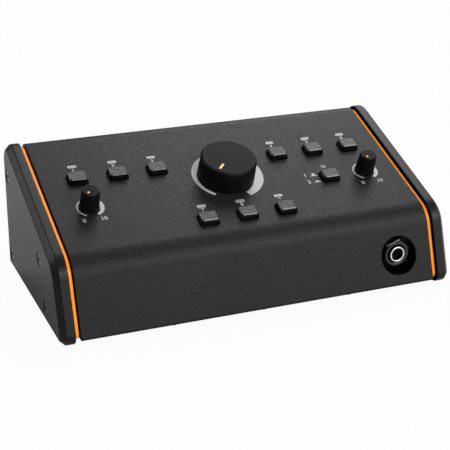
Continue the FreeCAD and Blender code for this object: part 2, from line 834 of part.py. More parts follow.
def make_base_plate():
    """The flat steel floor that lies on the cover's lip and carries the boards and the feet."""
    body = keep(new_body("base_plate"), "base_plate")
    front = f"{front_place('cheek_proud + steel', 'floor_level')} + sheet_gap"
    sketch = sketch_on(body, "XY_Plane", offset="base_bottom")
    left, right = "-(case_half - sheet_gap)", "case_half - sheet_gap"
    outline(sketch, [(left, front), (right, front), (right, "rear_face"), (left, "rear_face")])
    pad(body, sketch, "steel")
    holes = sketch_on(body, "XY_Plane", offset="floor_level")
    for x, y in LIP_SCREWS + FLANGE_SCREWS + REAR_FLANGE_SCREWS + BRACKET_SCREWS + FEET + BOARD_SPACERS:
        circle(holes, x, y, "case_screw_radius + hole_gap")
    pocket(body, holes, "steel")


def make_rear_panel():
    """The upright steel panel behind the sockets, with a flange that lies on the floor."""
    body = keep(new_body("rear_panel"), "rear_panel")
    top = "cheek_height - cheek_rear_radius"
    flange_end = "rear_inside - rear_flange_width"
    flange_top = "floor_level + steel"
    sketch = sketch_on(body, "YZ_Plane")
    corners = [
        ("rear_face", "floor_level"),
        ("rear_face", top),
        ("rear_inside", top),
        ("rear_inside", flange_top),
        (flange_end, flange_top),
        (flange_end, "floor_level"),
    ]
    outline(sketch, corners)
    half = "case_half - end_plate - sheet_gap"
    pad(body, sketch, f"2 * ({half})", symmetric=True)
    holes = sketch_on(body, "XZ_Plane", offset="-rear_face")
    for x in LINE_SOCKETS:
        circle(holes, x, "socket_axis", "line_bush_radius + hole_gap")
    circle(holes, "media_across", "socket_axis", "media_bush_radius + hole_gap")
    for x, z in REAR_LIP_SCREWS:
        circle(holes, x, z, "case_screw_radius + hole_gap")
    inlet_hole = ("inlet_width + 2 * sheet_gap", "inlet_height + 2 * sheet_gap")
    rectangle(holes, "inlet_across", INLET_AXIS, *inlet_hole)
    button_hole = "power_button_width + 4 * sheet_gap"
    rectangle(holes, "power_across", POWER_AXIS, button_hole, button_hole)
    pocket(body, holes, "steel", backwards=True)
    relief = sketch_on(body, "XY_Plane", offset=flange_top)
    depth = "cheek_nut_height + 2 * sheet_gap"
    for sign in (-1, 1):
        middle = f"{sign} * ({half} - ({depth}) / 2)"
        rectangle(relief, middle, REAR_FLANGE_LINE, depth, "rear_flange_width")
    pocket(body, relief, "steel")
    flange_holes = sketch_on(body, "XY_Plane", offset=flange_top)
    for x, y in REAR_FLANGE_SCREWS:
        circle(flange_holes, x, y, "case_screw_radius + hole_gap")
    pocket(body, flange_holes, "steel")


make_top_cover()
make_base_plate()
make_rear_panel()

# ---------------------------------------------------------------------------
# Screws, nuts and feet
# ---------------------------------------------------------------------------


def master_cheek_screw():
    """A countersunk screw with a socket, its head flush at height 0 and its thread along -Z."""
    body = new_body("cheek_screw_master")
    end = "-(cheek_thickness + trim_thickness + end_plate + cheek_nut_height + thread_gap)"
    profile = [
        ("0", "0"),
        ("cheek_head_radius", "0"),
        ("cheek_screw_radius", "-cheek_head_depth"),
        ("cheek_screw_radius", end),
        ("0", end),
    ]
    revolve(body, profile)
    socket = sketch_on(body, "XY_Plane")
    hexagon(socket, "2 * cheek_socket_radius")
    pocket(body, socket, "cheek_socket_depth")
    return body


def master_case_screw():
    """A pan-head screw with a driver recess: its head seats at height 0 and its thread is along +Z."""
    body = new_body("case_screw_master")
    profile = [
        ("0", "-case_head_height"),
        ("case_head_radius * 0.8", "-case_head_height"),
        ("case_head_radius", "-case_head_height / 2"),
        ("case_head_radius", "0"),
        ("case_screw_radius", "0"),
        ("case_screw_radius", "case_screw_length"),
        ("0", "case_screw_length"),
    ]
    revolve(body, profile)
    recess = sketch_on(body, "XY_Plane", offset="-case_head_height")
    hexagon(recess, "2 * driver_recess_radius")
    pocket(body, recess, "driver_recess_depth", backwards=True)
    return body


def master_nut(name, width, height, bore):
    """A hexagon nut that sits on height 0."""
    body = new_body(name)
    sketch = sketch_on(body, "XY_Plane")
    hexagon(sketch, width)
    circle(sketch, "0", "0", bore)
    pad(body, sketch, height)
    return body


def make_cheek_fasteners():
    """The eight cheek screws, and the nuts on the end plates that they run into."""
    nut_bore = "cheek_screw_radius + thread_gap"
    screw = master_cheek_screw()
    nut = master_nut("cheek_nut_master", "cheek_nut_width", "cheek_nut_height", nut_bore)
    screw_places, nut_places = [], []
    level = Vector(0, 1, 0)
    for _, sign in SIDES:
        head, seat = f"{sign} * overall_width / 2", f"{sign} * (case_half - end_plate)"
        screw_places += [(turned_link, head, y, z, level, 90 * sign) for y, z in CHEEK_SCREWS]
        inwards = (Vector(-sign, 1, 1), -120 * sign)
        nut_places += [(turned_link, seat, y, z, *inwards) for y, z in CHEEK_SCREWS]
    copies("cheek_screws", screw, screw_places)
    copies("cheek_nuts", nut, nut_places)


def make_case_fasteners():
    """The screws and nuts of lip, flanges, rear lip, socket bracket and feet."""
    screw = master_case_screw()
    nut_bore = "case_screw_radius + thread_gap"
    nut = master_nut("case_nut_master", "case_nut_width", "case_nut_height", nut_bore)
    # each joint from below: its places, the height of the screw's head and that of the nut
    stacks = (
        (LIP_SCREWS, "case_bottom", "floor_level"),
        (FLANGE_SCREWS, "base_bottom", "floor_level + end_plate"),
        (REAR_FLANGE_SCREWS, "base_bottom", "floor_level + steel"),
        (BRACKET_SCREWS, "base_bottom", "floor_level + steel"),
        (FEET, "foot_recess_depth", "floor_level"),
    )
    screw_places, nut_places = [], []
    for places, head, seat in stacks:
        screw_places += [(place, x, y, head) for x, y in places]
        nut_places += [(place, x, y, seat) for x, y in places]
    level = Vector(1, 0, 0)
    for x, z in REAR_LIP_SCREWS:
        screw_places.append((turned_link, x, "rear_edge - cheek_proud", z, level, 90))
        nut_places.append((turned_link, x, "rear_inside", z, level, 90))
    copies("case_screws", screw, screw_places)
    copies("case_nuts", nut, nut_places)


def make_feet():
    """Four round rubber feet, each with a recess for its screw's head."""
    body = new_body("foot_master")
    bore = "case_screw_radius + hole_gap"
    profile = [
        ("foot_recess_radius", "0"),
        ("foot_radius - foot_taper", "0"),
        ("foot_radius", "foot_taper"),
        ("foot_radius", "base_bottom"),
        (bore, "base_bottom"),
        (bore, "foot_recess_depth"),
        ("foot_recess_radius", "foot_recess_depth"),
    ]
    revolve(body, profile)
    copies("rubber_feet", body, [(place, x, y) for x, y in FEET])


make_cheek_fasteners()
make_case_fasteners()
make_feet()

# ---------------------------------------------------------------------------
# Circuit boards with their studs, spacers and screws
# ---------------------------------------------------------------------------


def make_control_board():
    """The board behind the sloping panel that carries switches, indicators and potentiometers."""
    body = keep(new_body("control_board"), "control_board")
    sketch = sketch_on(body, "XY_Plane", offset=f"-{BOARD_DEEP}")
    rim = "2 * (stud_radius + control_board_margin)"
    middle = "-(stud_top_down + stud_bottom_down) / 2"
    rectangle(sketch, "0", middle, f"2 * stud_across + {rim}", f"stud_bottom_down - stud_top_down + {rim}")
    for across, down in PANEL_STUDS:
        circle(sketch, across, f"-{down}", "case_screw_radius + hole_gap")
    pad(body, sketch, "board_thickness")
    place_on_panel(body, "0", "0")


def make_panel_studs():
    """Round studs pressed into the cover that hold the control board away from it."""
    body = new_body("stud_master")
    sketch = sketch_on(body, "XY_Plane", offset="-control_board_drop")
    circle(sketch, "0", "0", "stud_radius")
    circle(sketch, "0", "0", "case_screw_radius + thread_gap")
    pad(body, sketch, "control_board_drop - steel")
    copies("panel_studs", body, [(place_on_panel, across, down) for across, down in PANEL_STUDS])


def make_main_board():
    """The board on the floor with the sockets and the circuit."""
    body = keep(new_body("main_board"), "main_board")
    sketch = sketch_on(body, "XY_Plane", offset="main_board_bottom")
    left, right = "-main_board_width / 2", "main_board_width / 2"
    front, rear = MAIN_BOARD_FRONT, MAIN_BOARD_REAR
    outline(sketch, [(left, front), (right, front), (right, rear), (left, rear)])
    for x, y in BOARD_SPACERS:
        circle(sketch, x, y, "case_screw_radius + hole_gap")
    pad(body, sketch, "board_thickness")


def make_spacers():
    """Round threaded spacers between the floor and the main board."""
    body = new_body("spacer_master")
    sketch = sketch_on(body, "XY_Plane")
    circle(sketch, "0", "0", "spacer_radius")
    circle(sketch, "0", "0", "case_screw_radius + thread_gap")
    pad(body, sketch, "spacer_height")
    copies("board_spacers", body, [(place, x, y, "floor_level") for x, y in BOARD_SPACERS])


def make_board_screws():
    """Short pan-head screws: down into the spacers from above, and up into the studs from behind."""
    body = new_body("board_screw_master")
    length = "board_thickness + board_screw_bite"
    profile = [
        ("0", "-case_head_height"),
        ("case_head_radius", "-case_head_height"),
        ("case_head_radius", "0"),
        ("case_screw_radius", "0"),
        ("case_screw_radius", length),
        ("0", length),
    ]
    revolve(body, profile)
    over = Vector(1, 0, 0)
    places = [(turned_link, x, y, "main_board_level", over, 180) for x, y in BOARD_SPACERS]
    places += [(place, x, y, "base_bottom") for x, y in BOARD_SPACERS]
    places += [(place_on_panel, across, down, BOARD_DEEP) for across, down in PANEL_STUDS]
    copies("board_screws", body, places)


make_control_board()
make_panel_studs()
make_main_board()
make_spacers()
make_board_screws()

# ---------------------------------------------------------------------------
# Buttons with their switches, and the indicators
# ---------------------------------------------------------------------------

CAP_TAPER = "-atan(cap_top_inset / (cap_rise - cap_collar))"


def make_cap(name, across, down):
    """A button cap: a skirt in the panel's opening, a tapered top, and a stem down to its switch."""
    body = keep(new_body(name), name)
    skirt = sketch_on(body, "XY_Plane", offset="-cap_skirt")
    rounded_rectangle(skirt, "0", "0", "cap_width", "cap_depth", "cap_corner")
    pad(body, skirt, "cap_skirt + cap_collar")
    crown = sketch_on(body, "XY_Plane", offset="cap_collar")
    rounded_rectangle(crown, "0", "0", "cap_width", "cap_depth", "cap_corner")
    pad(body, crown, "cap_rise - cap_collar", taper=CAP_TAPER)
    fillet(body, edges_of_face(body, "z", "cap_rise"), "cap_edge")
    stem = sketch_on(body, "XY_Plane", offset="-stem_end")
    circle(stem, "0", "0", "stem_radius")
    pad(body, stem, "stem_end - cap_skirt")
    place_on_panel(body, across, down)


def make_switches():
    """The ten switch bodies on the control board, each with the bore that its stem moves in."""
    body = new_body("switch_master")
    sketch = sketch_on(body, "XY_Plane", offset="-control_board_drop")
    rectangle(sketch, "0", "0", "switch_width", "switch_width")
    circle(sketch, "0", "0", "stem_radius + stem_gap")
    pad(body, sketch, "switch_height")
    copies("switch_bodies", body, [(place_on_panel, across, down) for across, down in BUTTONS.values()])


def make_indicators():
    """Light pipes in the panel's slots, and the diodes on the board under them."""
    lens = new_body("lens_master")
    bottom = "control_board_drop - diode_height - lens_gap"
    bar = sketch_on(lens, "XY_Plane", offset=f"-({bottom})")
    rounded_rectangle(bar, "0", "0", "lens_length", "lens_width", "lens_corner")
    pad(lens, bar, f"{bottom} + lens_proud")
    diode = new_body("diode_master")
    base = sketch_on(diode, "XY_Plane", offset="-control_board_drop")
    rectangle(base, "0", "0", "diode_length", "diode_width")
    pad(diode, base, "diode_height")
    places = [(place_on_panel, across, down) for across, down in INDICATORS]
    copies("indicator_lenses", lens, places)
    copies("indicator_diodes", diode, places)


for cap_name, (cap_across, cap_down) in BUTTONS.items():
    make_cap(cap_name, cap_across, cap_down)
make_switches()
make_indicators()

# ---------------------------------------------------------------------------
# Knobs, shafts and potentiometers
# ---------------------------------------------------------------------------

POT_TOP = "steel + sheet_gap"
SHAFT_FOOT = "control_board_drop - steel"
BORE = "shaft_radius + shaft_running_gap"


def make_pot(name, across, down, width, bush_radius, bush_top):
    """A potentiometer on the control board with a bush, bored for its shaft."""
    body = keep(new_body(name), name)
    base = sketch_on(body, "XY_Plane", offset="-control_board_drop")
    rectangle(base, "0", "0", width, width)
    pad(body, base, f"control_board_drop - ({POT_TOP})")
    bush = sketch_on(body, "XY_Plane", offset=f"-({POT_TOP})")
    circle(bush, "0", "0", bush_radius)
    pad(body, bush, f"({POT_TOP}) + ({bush_top})")
    bore = sketch_on(body, "XY_Plane", offset=bush_top)
    circle(bore, "0", "0", BORE)
    pocket(body, bore, f"({bush_top}) + {SHAFT_FOOT}")
    place_on_panel(body, across, down)


def make_shaft(name, across, down, top):
    """The turning shaft, from inside the potentiometer to inside the knob."""
    body = keep(new_body(name), name)
    sketch = sketch_on(body, "XY_Plane", offset=f"-({SHAFT_FOOT} - sheet_gap)")
    circle(sketch, "0", "0", "shaft_radius")
    pad(body, sketch, f"{SHAFT_FOOT} - sheet_gap + ({top})")
    place_on_panel(body, across, down)


def make_volume_knob():
    """The large knob: a hollow tapered cup with a hub on the shaft and an inlaid bar as its mark."""
    body = keep(new_body("volume_knob"), "volume_knob")
    rim_inner = "volume_base_radius - volume_wall"
    roof = "volume_height - volume_roof"
    hub_bottom = "volume_bush_height + knob_float"
    bore_top = "volume_height - knob_bore_roof"
    profile = [
        ("volume_base_radius", "knob_float"),
        ("volume_top_radius", "volume_height"),
        ("0", "volume_height"),
        ("0", bore_top),
        (BORE, bore_top),
        (BORE, hub_bottom),
        ("volume_hub_radius", hub_bottom),
        ("volume_hub_radius", roof),
        (f"{rim_inner} - sheet_gap", roof),
        (rim_inner, "knob_float"),
    ]
    revolve(body, profile)
    top_edge = Vector(value("volume_top_radius"), 0, value("volume_height"))
    fillet(body, edges_near(body, [top_edge]), "volume_edge")
    seat = sketch_on(body, "XY_Plane", offset="volume_height", turn="mark_rest_angle")
    sizes = ("mark_width + 2 * mark_gap", "mark_length + 2 * mark_gap", "mark_width / 2")
    rounded_rectangle(seat, "0", "mark_inner + mark_length / 2", *sizes)
    pocket(body, seat, "mark_depth")
    place_on_panel(body, "0", "volume_down")
    mark = keep(new_body("volume_mark"), "volume_mark")
    bar = sketch_on(mark, "XY_Plane", offset="volume_height - mark_depth", turn="mark_rest_angle")
    bar_sizes = ("mark_width", "mark_length", "mark_width / 2 - mark_gap")
    rounded_rectangle(bar, "0", "mark_inner + mark_length / 2", *bar_sizes)
    pad(mark, bar, "mark_depth + mark_proud")
    place_on_panel(mark, "0", "volume_down")
    make_shaft("volume_shaft", "0", "volume_down", f"{bore_top} - sheet_gap")


def make_level_knob(name, across):
    """A small tapered knob with an inlaid dot as its mark."""
    body = keep(new_body(name + "_knob"), name + "_knob")
    bore_top = "level_height - knob_bore_roof"
    profile = [
        ("level_base_radius", "knob_float"),
        ("level_top_radius", "level_height"),
        ("0", "level_height"),
        ("0", bore_top),
        (BORE, bore_top),
        (BORE, "knob_float"),
    ]
    revolve(body, profile)
    top_edge = Vector(value("level_top_radius"), 0, value("level_height"))
    fillet(body, edges_near(body, [top_edge]), "level_edge")
    seat = sketch_on(body, "XY_Plane", offset="level_height", turn="mark_rest_angle")
    circle(seat, "0", "dot_centre", "dot_radius + mark_gap")
    pocket(body, seat, "mark_depth")
    place_on_panel(body, across, "level_down")
    mark = keep(new_body(name + "_mark"), name + "_mark")
    dot = sketch_on(mark, "XY_Plane", offset="level_height - mark_depth", turn="mark_rest_angle")
    circle(dot, "0", "dot_centre", "dot_radius")
    pad(mark, dot, "mark_depth + mark_proud")
    place_on_panel(mark, across, "level_down")
    make_shaft(name + "_shaft", across, "level_down", f"{bore_top} - sheet_gap")
    bush_radius = "shaft_radius + 2 * hole_gap"
    make_pot(name + "_pot", across, "level_down", "level_pot_width", bush_radius, "-sheet_gap")


def make_volume_pot():
    """The large knob's potentiometer, held to the panel by a nut under the knob."""
    bush = ("volume_bush_radius", "volume_bush_height")
    make_pot("volume_pot", "0", "volume_down", "volume_pot_width", *bush)
    bore = "volume_bush_radius + thread_gap"
    nut = keep(master_nut("volume_nut", "volume_nut_width", "volume_nut_height", bore), "volume_nut")
    place_on_panel(nut, "0", "volume_down")


make_volume_knob()
make_volume_pot()
for knob_name, knob_across in LEVEL_KNOBS.items():
    make_level_knob(knob_name, knob_across)

# ---------------------------------------------------------------------------
# Sockets and the power switch
# ---------------------------------------------------------------------------


def socket_block(body, width, length, height, bush_radius, bush_length):
    """A block on the board with a round bush in front: its face is at Y 0 and the bush is along +Y."""
    block = sketch_on(body, "XZ_Plane")
    low = "-socket_axis_height"
    high = f"({height}) - socket_axis_height"
    left, right = f"-({width}) / 2", f"({width}) / 2"
    outline(block, [(left, low), (right, low), (right, high), (left, high)])
    pad(body, block, length)
    bush = sketch_on(body, "XZ_Plane")
    circle(bush, "0", "0", bush_radius)
    pad(body, bush, bush_length, backwards=True)


def bore_from_front(body, front, radius, depth):
    """Bores a hole along -Y from the bush's front."""
    sketch = sketch_on(body, "XZ_Plane", offset=f"-({front})")
    circle(sketch, "0", "0", radius)
    pocket(body, sketch, depth, backwards=True)


def make_line_sockets():
    """Eight balanced line sockets in a row along the back, each with its nut."""
    body = new_body("line_socket_master")
    reach = "overall_depth / 2 - rear_inside"
    sizes = ("line_body_width", "line_body_length", "line_body_height", "line_bush_radius")
    socket_block(body, *sizes, reach)
    bore_from_front(body, reach, "jack_bore_radius", "jack_bore_depth")
    copies("line_sockets", body, [(place, x, "rear_inside", "socket_axis") for x in LINE_SOCKETS])
    nut_bore = "line_bush_radius + thread_gap"
    nut = master_nut("line_nut_master", "line_nut_width", "line_nut_height", nut_bore)
    seat = ("rear_face", "socket_axis", Vector(1, 0, 0), -90)
    copies("line_socket_nuts", nut, [(turned_link, x, *seat) for x in LINE_SOCKETS])


def make_media_socket():
    """The small stereo socket for a portable player."""
    body = keep(new_body("media_socket"), "media_socket")
    reach = "steel + media_bush_reach"
    sizes = ("media_body_width", "media_body_length", "media_body_height", "media_bush_radius")
    socket_block(body, *sizes, reach)
    bore_from_front(body, reach, "media_bore_radius", "media_bore_depth")
    place(body, "media_across", "rear_inside", "socket_axis")


def make_power_inlet():
    """The round low-voltage inlet: a block with an annular bore around its centre pin."""
    body = keep(new_body("power_inlet"), "power_inlet")
    block = sketch_on(body, "XZ_Plane")
    rectangle(block, "0", "0", "inlet_width", "inlet_height")
    pad(body, block, "inlet_length")
    bore = sketch_on(body, "XZ_Plane")
    circle(bore, "0", "0", "inlet_bore_radius")
    circle(bore, "0", "0", "inlet_pin_radius")
    pocket(body, bore, "inlet_bore_depth", backwards=True)
    place(body, "inlet_across", "rear_face", INLET_AXIS)


def make_power_switch():
    """The latching power switch: a hollow body on the board, and the button that slides in it."""
    body = keep(new_body("power_switch"), "power_switch")
    block = sketch_on(body, "XZ_Plane")
    rectangle(block, "0", "0", "power_body_width", "power_body_height")
    pad(body, block, "power_body_length")
    hollow = sketch_on(body, "XZ_Plane")
    width = "power_button_width + 2 * stem_gap"
    rectangle(hollow, "0", "0", width, width)
    pocket(body, hollow, "power_body_length - steel", backwards=True)
    place(body, "power_across", "rear_inside - sheet_gap", POWER_AXIS)
    button = keep(new_body("power_button"), "power_button")
    bar = sketch_on(button, "XZ_Plane")
    rectangle(bar, "0", "0", "power_button_width", "power_button_width")
    pad(button, bar, "power_button_length")
    fillet(button, edges_of_face(button, "y", "0"), "power_button_edge")
    place(button, "power_across", "rear_face + power_button_proud", POWER_AXIS)


def make_headphone_socket():
    """The headphone socket: its body on the main board, its chrome bush, its nut and its bracket."""
    jack = keep(new_body("headphone_socket"), "headphone_socket")
    block = sketch_on(jack, "XZ_Plane")
    low, high = "-socket_axis_height", "phones_body_height - socket_axis_height"
    left, right = "-phones_body_width / 2", "phones_body_width / 2"
    outline(block, [(left, low), (right, low), (right, high), (left, high)])
    pad(jack, block, "phones_body_length", backwards=True)
    bore = sketch_on(jack, "XZ_Plane")
    circle(bore, "0", "0", "jack_bore_radius")
    bush_length = "phones_bush_proud + phones_nut_height + steel"
    pocket(jack, bore, f"jack_bore_depth - ({bush_length})")
    place(jack, "phones_across", BRACKET_BACK, "socket_axis")

    bush = keep(new_body("headphone_bush"), "headphone_bush")
    ring = sketch_on(bush, "XZ_Plane")
    circle(ring, "0", "0", "phones_bush_radius")
    circle(ring, "0", "0", "jack_bore_radius")
    pad(bush, ring, bush_length, backwards=True)
    chamfer(bush, edges_near(bush, [Vector(value("jack_bore_radius"), 0, 0)]), "phones_hole_edge")
    place(bush, "phones_across", f"{PHONES_NUT_FRONT} - phones_bush_proud", "socket_axis")

    nut = keep(new_body("headphone_nut"), "headphone_nut")
    flats = sketch_on(nut, "XZ_Plane", turn="phones_nut_turn")
    hexagon(flats, "phones_nut_radius * sqrt(3)")
    circle(flats, "0", "0", "phones_bush_radius + thread_gap")
    pad(nut, flats, "phones_nut_height", backwards=True)
    place(nut, "phones_across", PHONES_NUT_FRONT, "socket_axis")

    bracket = keep(new_body("socket_bracket"), "socket_bracket")
    plate = sketch_on(bracket, "YZ_Plane", offset="phones_across")
    front, back = BRACKET_FRONT, BRACKET_BACK
    foot_end = f"{back} + bracket_foot"
    top = "main_board_level + bracket_top"
    foot_top = "floor_level + steel"
    corners = [
        (front, "floor_level"),
        (foot_end, "floor_level"),
        (foot_end, foot_top),
        (back, foot_top),
        (back, top),
        (front, top),
    ]
    outline(plate, corners)
    pad(bracket, plate, "bracket_width", symmetric=True)
    hole = sketch_on(bracket, "XZ_Plane", offset=f"-{front}")
    circle(hole, "phones_across", "socket_axis", "phones_bush_radius + hole_gap")
    pocket(bracket, hole, "steel")
    foot_holes = sketch_on(bracket, "XY_Plane", offset=foot_top)
    for x, y in BRACKET_SCREWS:
        circle(foot_holes, x, y, "case_screw_radius + hole_gap")
    pocket(bracket, foot_holes, "steel")


make_line_sockets()
make_media_socket()
make_power_inlet()
make_power_switch()
make_headphone_socket()

# ---------------------------------------------------------------------------
# What links and fills the boards
# ---------------------------------------------------------------------------

HEADER_END = f"{BOARD_DEEP} + header_height"


def make_headers():
    """The two ribbon headers: one behind the control board, one on the main board."""
    body = new_body("header_master")
    sketch = sketch_on(body, "XY_Plane")
    rectangle(sketch, "0", "0", "header_width", "header_depth")
    pad(body, sketch, "header_height")
    upper = (place_on_panel, "ribbon_across", "ribbon_down", HEADER_END)
    lower = (place, "ribbon_across", "ribbon_front", "main_board_level")
    copies("ribbon_headers", body, [upper, lower])


def make_ribbon():
    """The flat cable from header to header: straight runs joined by tangent arcs, swept as a band."""
    drop = value(HEADER_END)
    down = value("ribbon_down")
    sine, cosine = value("slope_sin"), value("slope_cos")
    x = value("ribbon_across")
    start_y = value("panel_top_y") - down * cosine + drop * sine
    start_z = value("panel_top_z") - down * sine - drop * cosine
    start = Vector(x, start_y, start_z)
    end = Vector(x, value("ribbon_front"), value("main_board_level + header_height"))
    lead = start + Vector(0, sine, -cosine) * value("ribbon_lead")
    above = end + Vector(0, 0, value("ribbon_drop"))
    path = rounded_path([start, lead, above, end])
    width, thickness = value("ribbon_width"), value("ribbon_thickness")
    corners = [
        start + Vector(side * width / 2, 0, 0) + Vector(0, cosine, sine) * (edge * thickness / 2)
        for side, edge in ((-1, -1), (1, -1), (1, 1), (-1, 1), (-1, -1))
    ]
    section = Part.makePolygon(corners)
    shape = Part.Wire(path.Edges).makePipeShell([section], True, True)
    ribbon = doc.addObject("Part::Feature", "ribbon_cable")
    ribbon.Shape = shape
    keep(ribbon, "ribbon_cable")


def rounded_path(points):
    """A wire through the points whose corners are arcs, each taking 0.45 of its shorter run."""
    edges = []
    last = points[0]
    for before, corner, after in zip(points, points[1:], points[2:]):
        back, ahead = before - corner, after - corner
        cut = 0.45 * min(back.Length, ahead.Length)
        turn = math.pi - back.getAngle(ahead)
        radius = cut / math.tan(turn / 2)
        print(f"ribbon bend radius {radius:.1f} mm")
        entry = corner + back.normalize() * cut
        exit_point = corner + ahead.normalize() * cut
        bisector = (back + ahead).normalize()
        middle = corner + bisector * (radius / math.cos(turn / 2) - radius)
        edges += [Part.LineSegment(last, entry), Part.Arc(entry, middle, exit_point)]
        last = exit_point
    edges.append(Part.LineSegment(last, points[-1]))
    return Part.Wire([edge.toShape() for edge in edges])


def make_board_parts():
    """Electrolytic capacitors and amplifier chips on the main board."""
    can = new_body("capacitor_master")
    ring = sketch_on(can, "XY_Plane")
    circle(ring, "0", "0", "capacitor_radius")
    pad(can, ring, "capacitor_height")
    rows = [f"part_row_front + {row} * part_row_pitch" for row in (0, 1, 2)]
    pairs = ("capacitor_left", "capacitor_right")
    columns = [f"{first} + {step} * capacitor_pitch" for first in pairs for step in (0, 1)]
    copies("capacitors", can, [(place, x, y, "main_board_level") for x in columns for y in rows[:2]])
    chip = new_body("chip_master")
    block = sketch_on(chip, "XY_Plane")
    rectangle(block, "0", "0", "chip_length", "chip_width")
    pad(chip, block, "chip_height")
    columns = ("chip_middle", "chip_right", "chip_right + chip_pitch")
    copies("amplifier_chips", chip, [(place, x, y, "main_board_level") for x in columns for y in rows])


make_headers()
make_ribbon()
make_board_parts()

# ---------------------------------------------------------------------------
# Check every object and write each sub-part to its own file
# ---------------------------------------------------------------------------

doc.recompute()
faults = [item.Name for item in doc.Objects if "Invalid" in item.State or "Error" in item.State]
if faults:
    raise RuntimeError("failed objects: " + ", ".join(faults))

os.makedirs("parts", exist_ok=True)
for node, shape_object in node_objects.items():
    shape = shape_object.Shape
    if shape.isNull() or not shape.isValid():
        raise RuntimeError(f"{node} has no valid shape")
    shape.exportStep(f"parts/{node}.step")
print(len(node_objects), "sub-parts written")
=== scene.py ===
import json
import math

import bpy
from mathutils import Matrix, Vector

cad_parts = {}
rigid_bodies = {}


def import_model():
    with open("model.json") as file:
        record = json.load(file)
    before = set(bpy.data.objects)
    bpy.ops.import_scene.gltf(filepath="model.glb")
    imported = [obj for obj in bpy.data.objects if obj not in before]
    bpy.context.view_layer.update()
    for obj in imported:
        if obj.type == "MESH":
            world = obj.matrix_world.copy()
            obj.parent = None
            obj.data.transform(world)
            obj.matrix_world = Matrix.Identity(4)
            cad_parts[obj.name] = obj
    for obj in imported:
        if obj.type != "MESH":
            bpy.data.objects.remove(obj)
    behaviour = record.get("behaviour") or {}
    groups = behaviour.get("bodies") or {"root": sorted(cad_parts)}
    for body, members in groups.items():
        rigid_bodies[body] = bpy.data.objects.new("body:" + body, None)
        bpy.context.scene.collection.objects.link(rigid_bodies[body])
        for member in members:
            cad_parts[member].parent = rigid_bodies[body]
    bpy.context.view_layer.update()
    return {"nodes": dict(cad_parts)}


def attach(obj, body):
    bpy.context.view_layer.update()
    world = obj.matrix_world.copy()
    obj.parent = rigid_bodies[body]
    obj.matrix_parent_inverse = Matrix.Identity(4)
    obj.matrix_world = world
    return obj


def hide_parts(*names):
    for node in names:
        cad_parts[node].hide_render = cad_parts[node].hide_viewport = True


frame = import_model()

# ---------------------------------------------------------------------------
# Steel case: cover, base plate, rear panel and inner end plates. Folded and
# punched 1.5 mm steel sheet, screwed together, with a fine textured black powder
# coat baked on.
# ---------------------------------------------------------------------------


class Shade:
    """A value that varies over a surface. Arithmetic on it adds Math nodes to its tree."""

    def __init__(self, nodes, socket):
        self.nodes = nodes
        self.socket = socket

    def math(self, operation, *values):
        return self.nodes.add("ShaderNodeMath", {"operation": operation}, dict(enumerate(values)))

    def __add__(self, other):
        return self.math("ADD", self, other)

    def __mul__(self, other):
        return self.math("MULTIPLY", self, other)

    def __lt__(self, other):
        return self.math("LESS_THAN", self, other)

    def __gt__(self, other):
        return self.math("GREATER_THAN", self, other)

    __radd__ = __add__
    __rmul__ = __mul__


class Nodes:
    """Adds nodes to one node tree."""

    def __init__(self, tree):
        self.tree = tree

    def add(self, kind, settings=None, inputs=None, output=0):
        """Adds a node: its settings first, then the values or links of its sockets."""
        node = self.tree.nodes.new(kind)
        for name, setting in (settings or {}).items():
            if name == "stops":
                ramp = node.color_ramp.elements
                while len(ramp) < len(setting):
                    ramp.new(1.0)
                for stop, (position, level) in zip(ramp, setting):
                    stop.position = position
                    stop.color = grey(level)
            else:
                setattr(node, name, setting)
        for name, value in (inputs or {}).items():
            self.feed(node.inputs[name], value)
        return Shade(self, node.outputs[output]) if len(node.outputs) else None

    def feed(self, socket, value):
        """Gives a socket a link or a constant."""
        if isinstance(value, Shade):
            self.tree.links.new(value.socket, socket)
        else:
            socket.default_value = value


class Finish(Nodes):
    """A material on one Principled shader, with the nodes that vary it over the surface."""

    def __init__(self, name, **fixed):
        self.material = bpy.data.materials.new(name)
        self.material.use_nodes = True
        super().__init__(self.material.node_tree)
        self.shader = self.tree.nodes["Principled BSDF"]
        self.place = self.add("ShaderNodeTexCoord", output="Object")
        for socket, value in fixed.items():
            self.set(socket, value)

    def set(self, name, value):
        """Gives one of the shader's sockets a constant or a link."""
        self.feed(self.shader.inputs[name], value)

    def noise(self, size, detail=2.0, stretch=None):
        """Soft cloudy noise with lumps of size metres, drawn out where stretch is under 1."""
        place = self.place
        if stretch is not None:
            settings = {"vector_type": "POINT"}
            place = self.add("ShaderNodeMapping", settings, {"Vector": place, "Scale": stretch})
        inputs = {"Vector": place, "Scale": 1.0 / size, "Detail": detail}
        return self.add("ShaderNodeTexNoise", {}, inputs)

    def ramp(self, value, *stops):
        """Reshapes a value through a ramp of greys."""
        return self.add("ShaderNodeValToRGB", {"stops": stops}, {"Fac": value})

    def colours(self, factor, first, second):
        """Goes from the first colour to the second as the factor goes from 0 to 1."""
        inputs = {0: factor, 6: first, 7: second}
        return self.add("ShaderNodeMix", {"data_type": "RGBA"}, inputs, output=2)

    def relief(self, height, depth, strength=1.0):
        """Gives the surface a relief that is depth metres deep."""
        inputs = {"Strength": strength, "Distance": depth, "Height": height}
        self.set("Normal", self.add("ShaderNodeBump", {}, inputs))


def grey(level, tint=0.0):
    """A neutral colour, given as its linear level, its blue raised by the share tint."""
    return (level, level, level * (1.0 + tint), 1.0)


def paint(finish, *nodes):
    """Puts a finish on CAD nodes through their objects' material slots."""
    for node in nodes:
        for slot in frame["nodes"][node].material_slots:
            slot.link = "OBJECT"
            slot.material = finish.material


def select(*pieces):
    """Selects only these objects and makes the first active."""
    bpy.ops.object.select_all(action="DESELECT")
    for piece in pieces:
        piece.select_set(True)
    bpy.context.view_layer.objects.active = pieces[0]


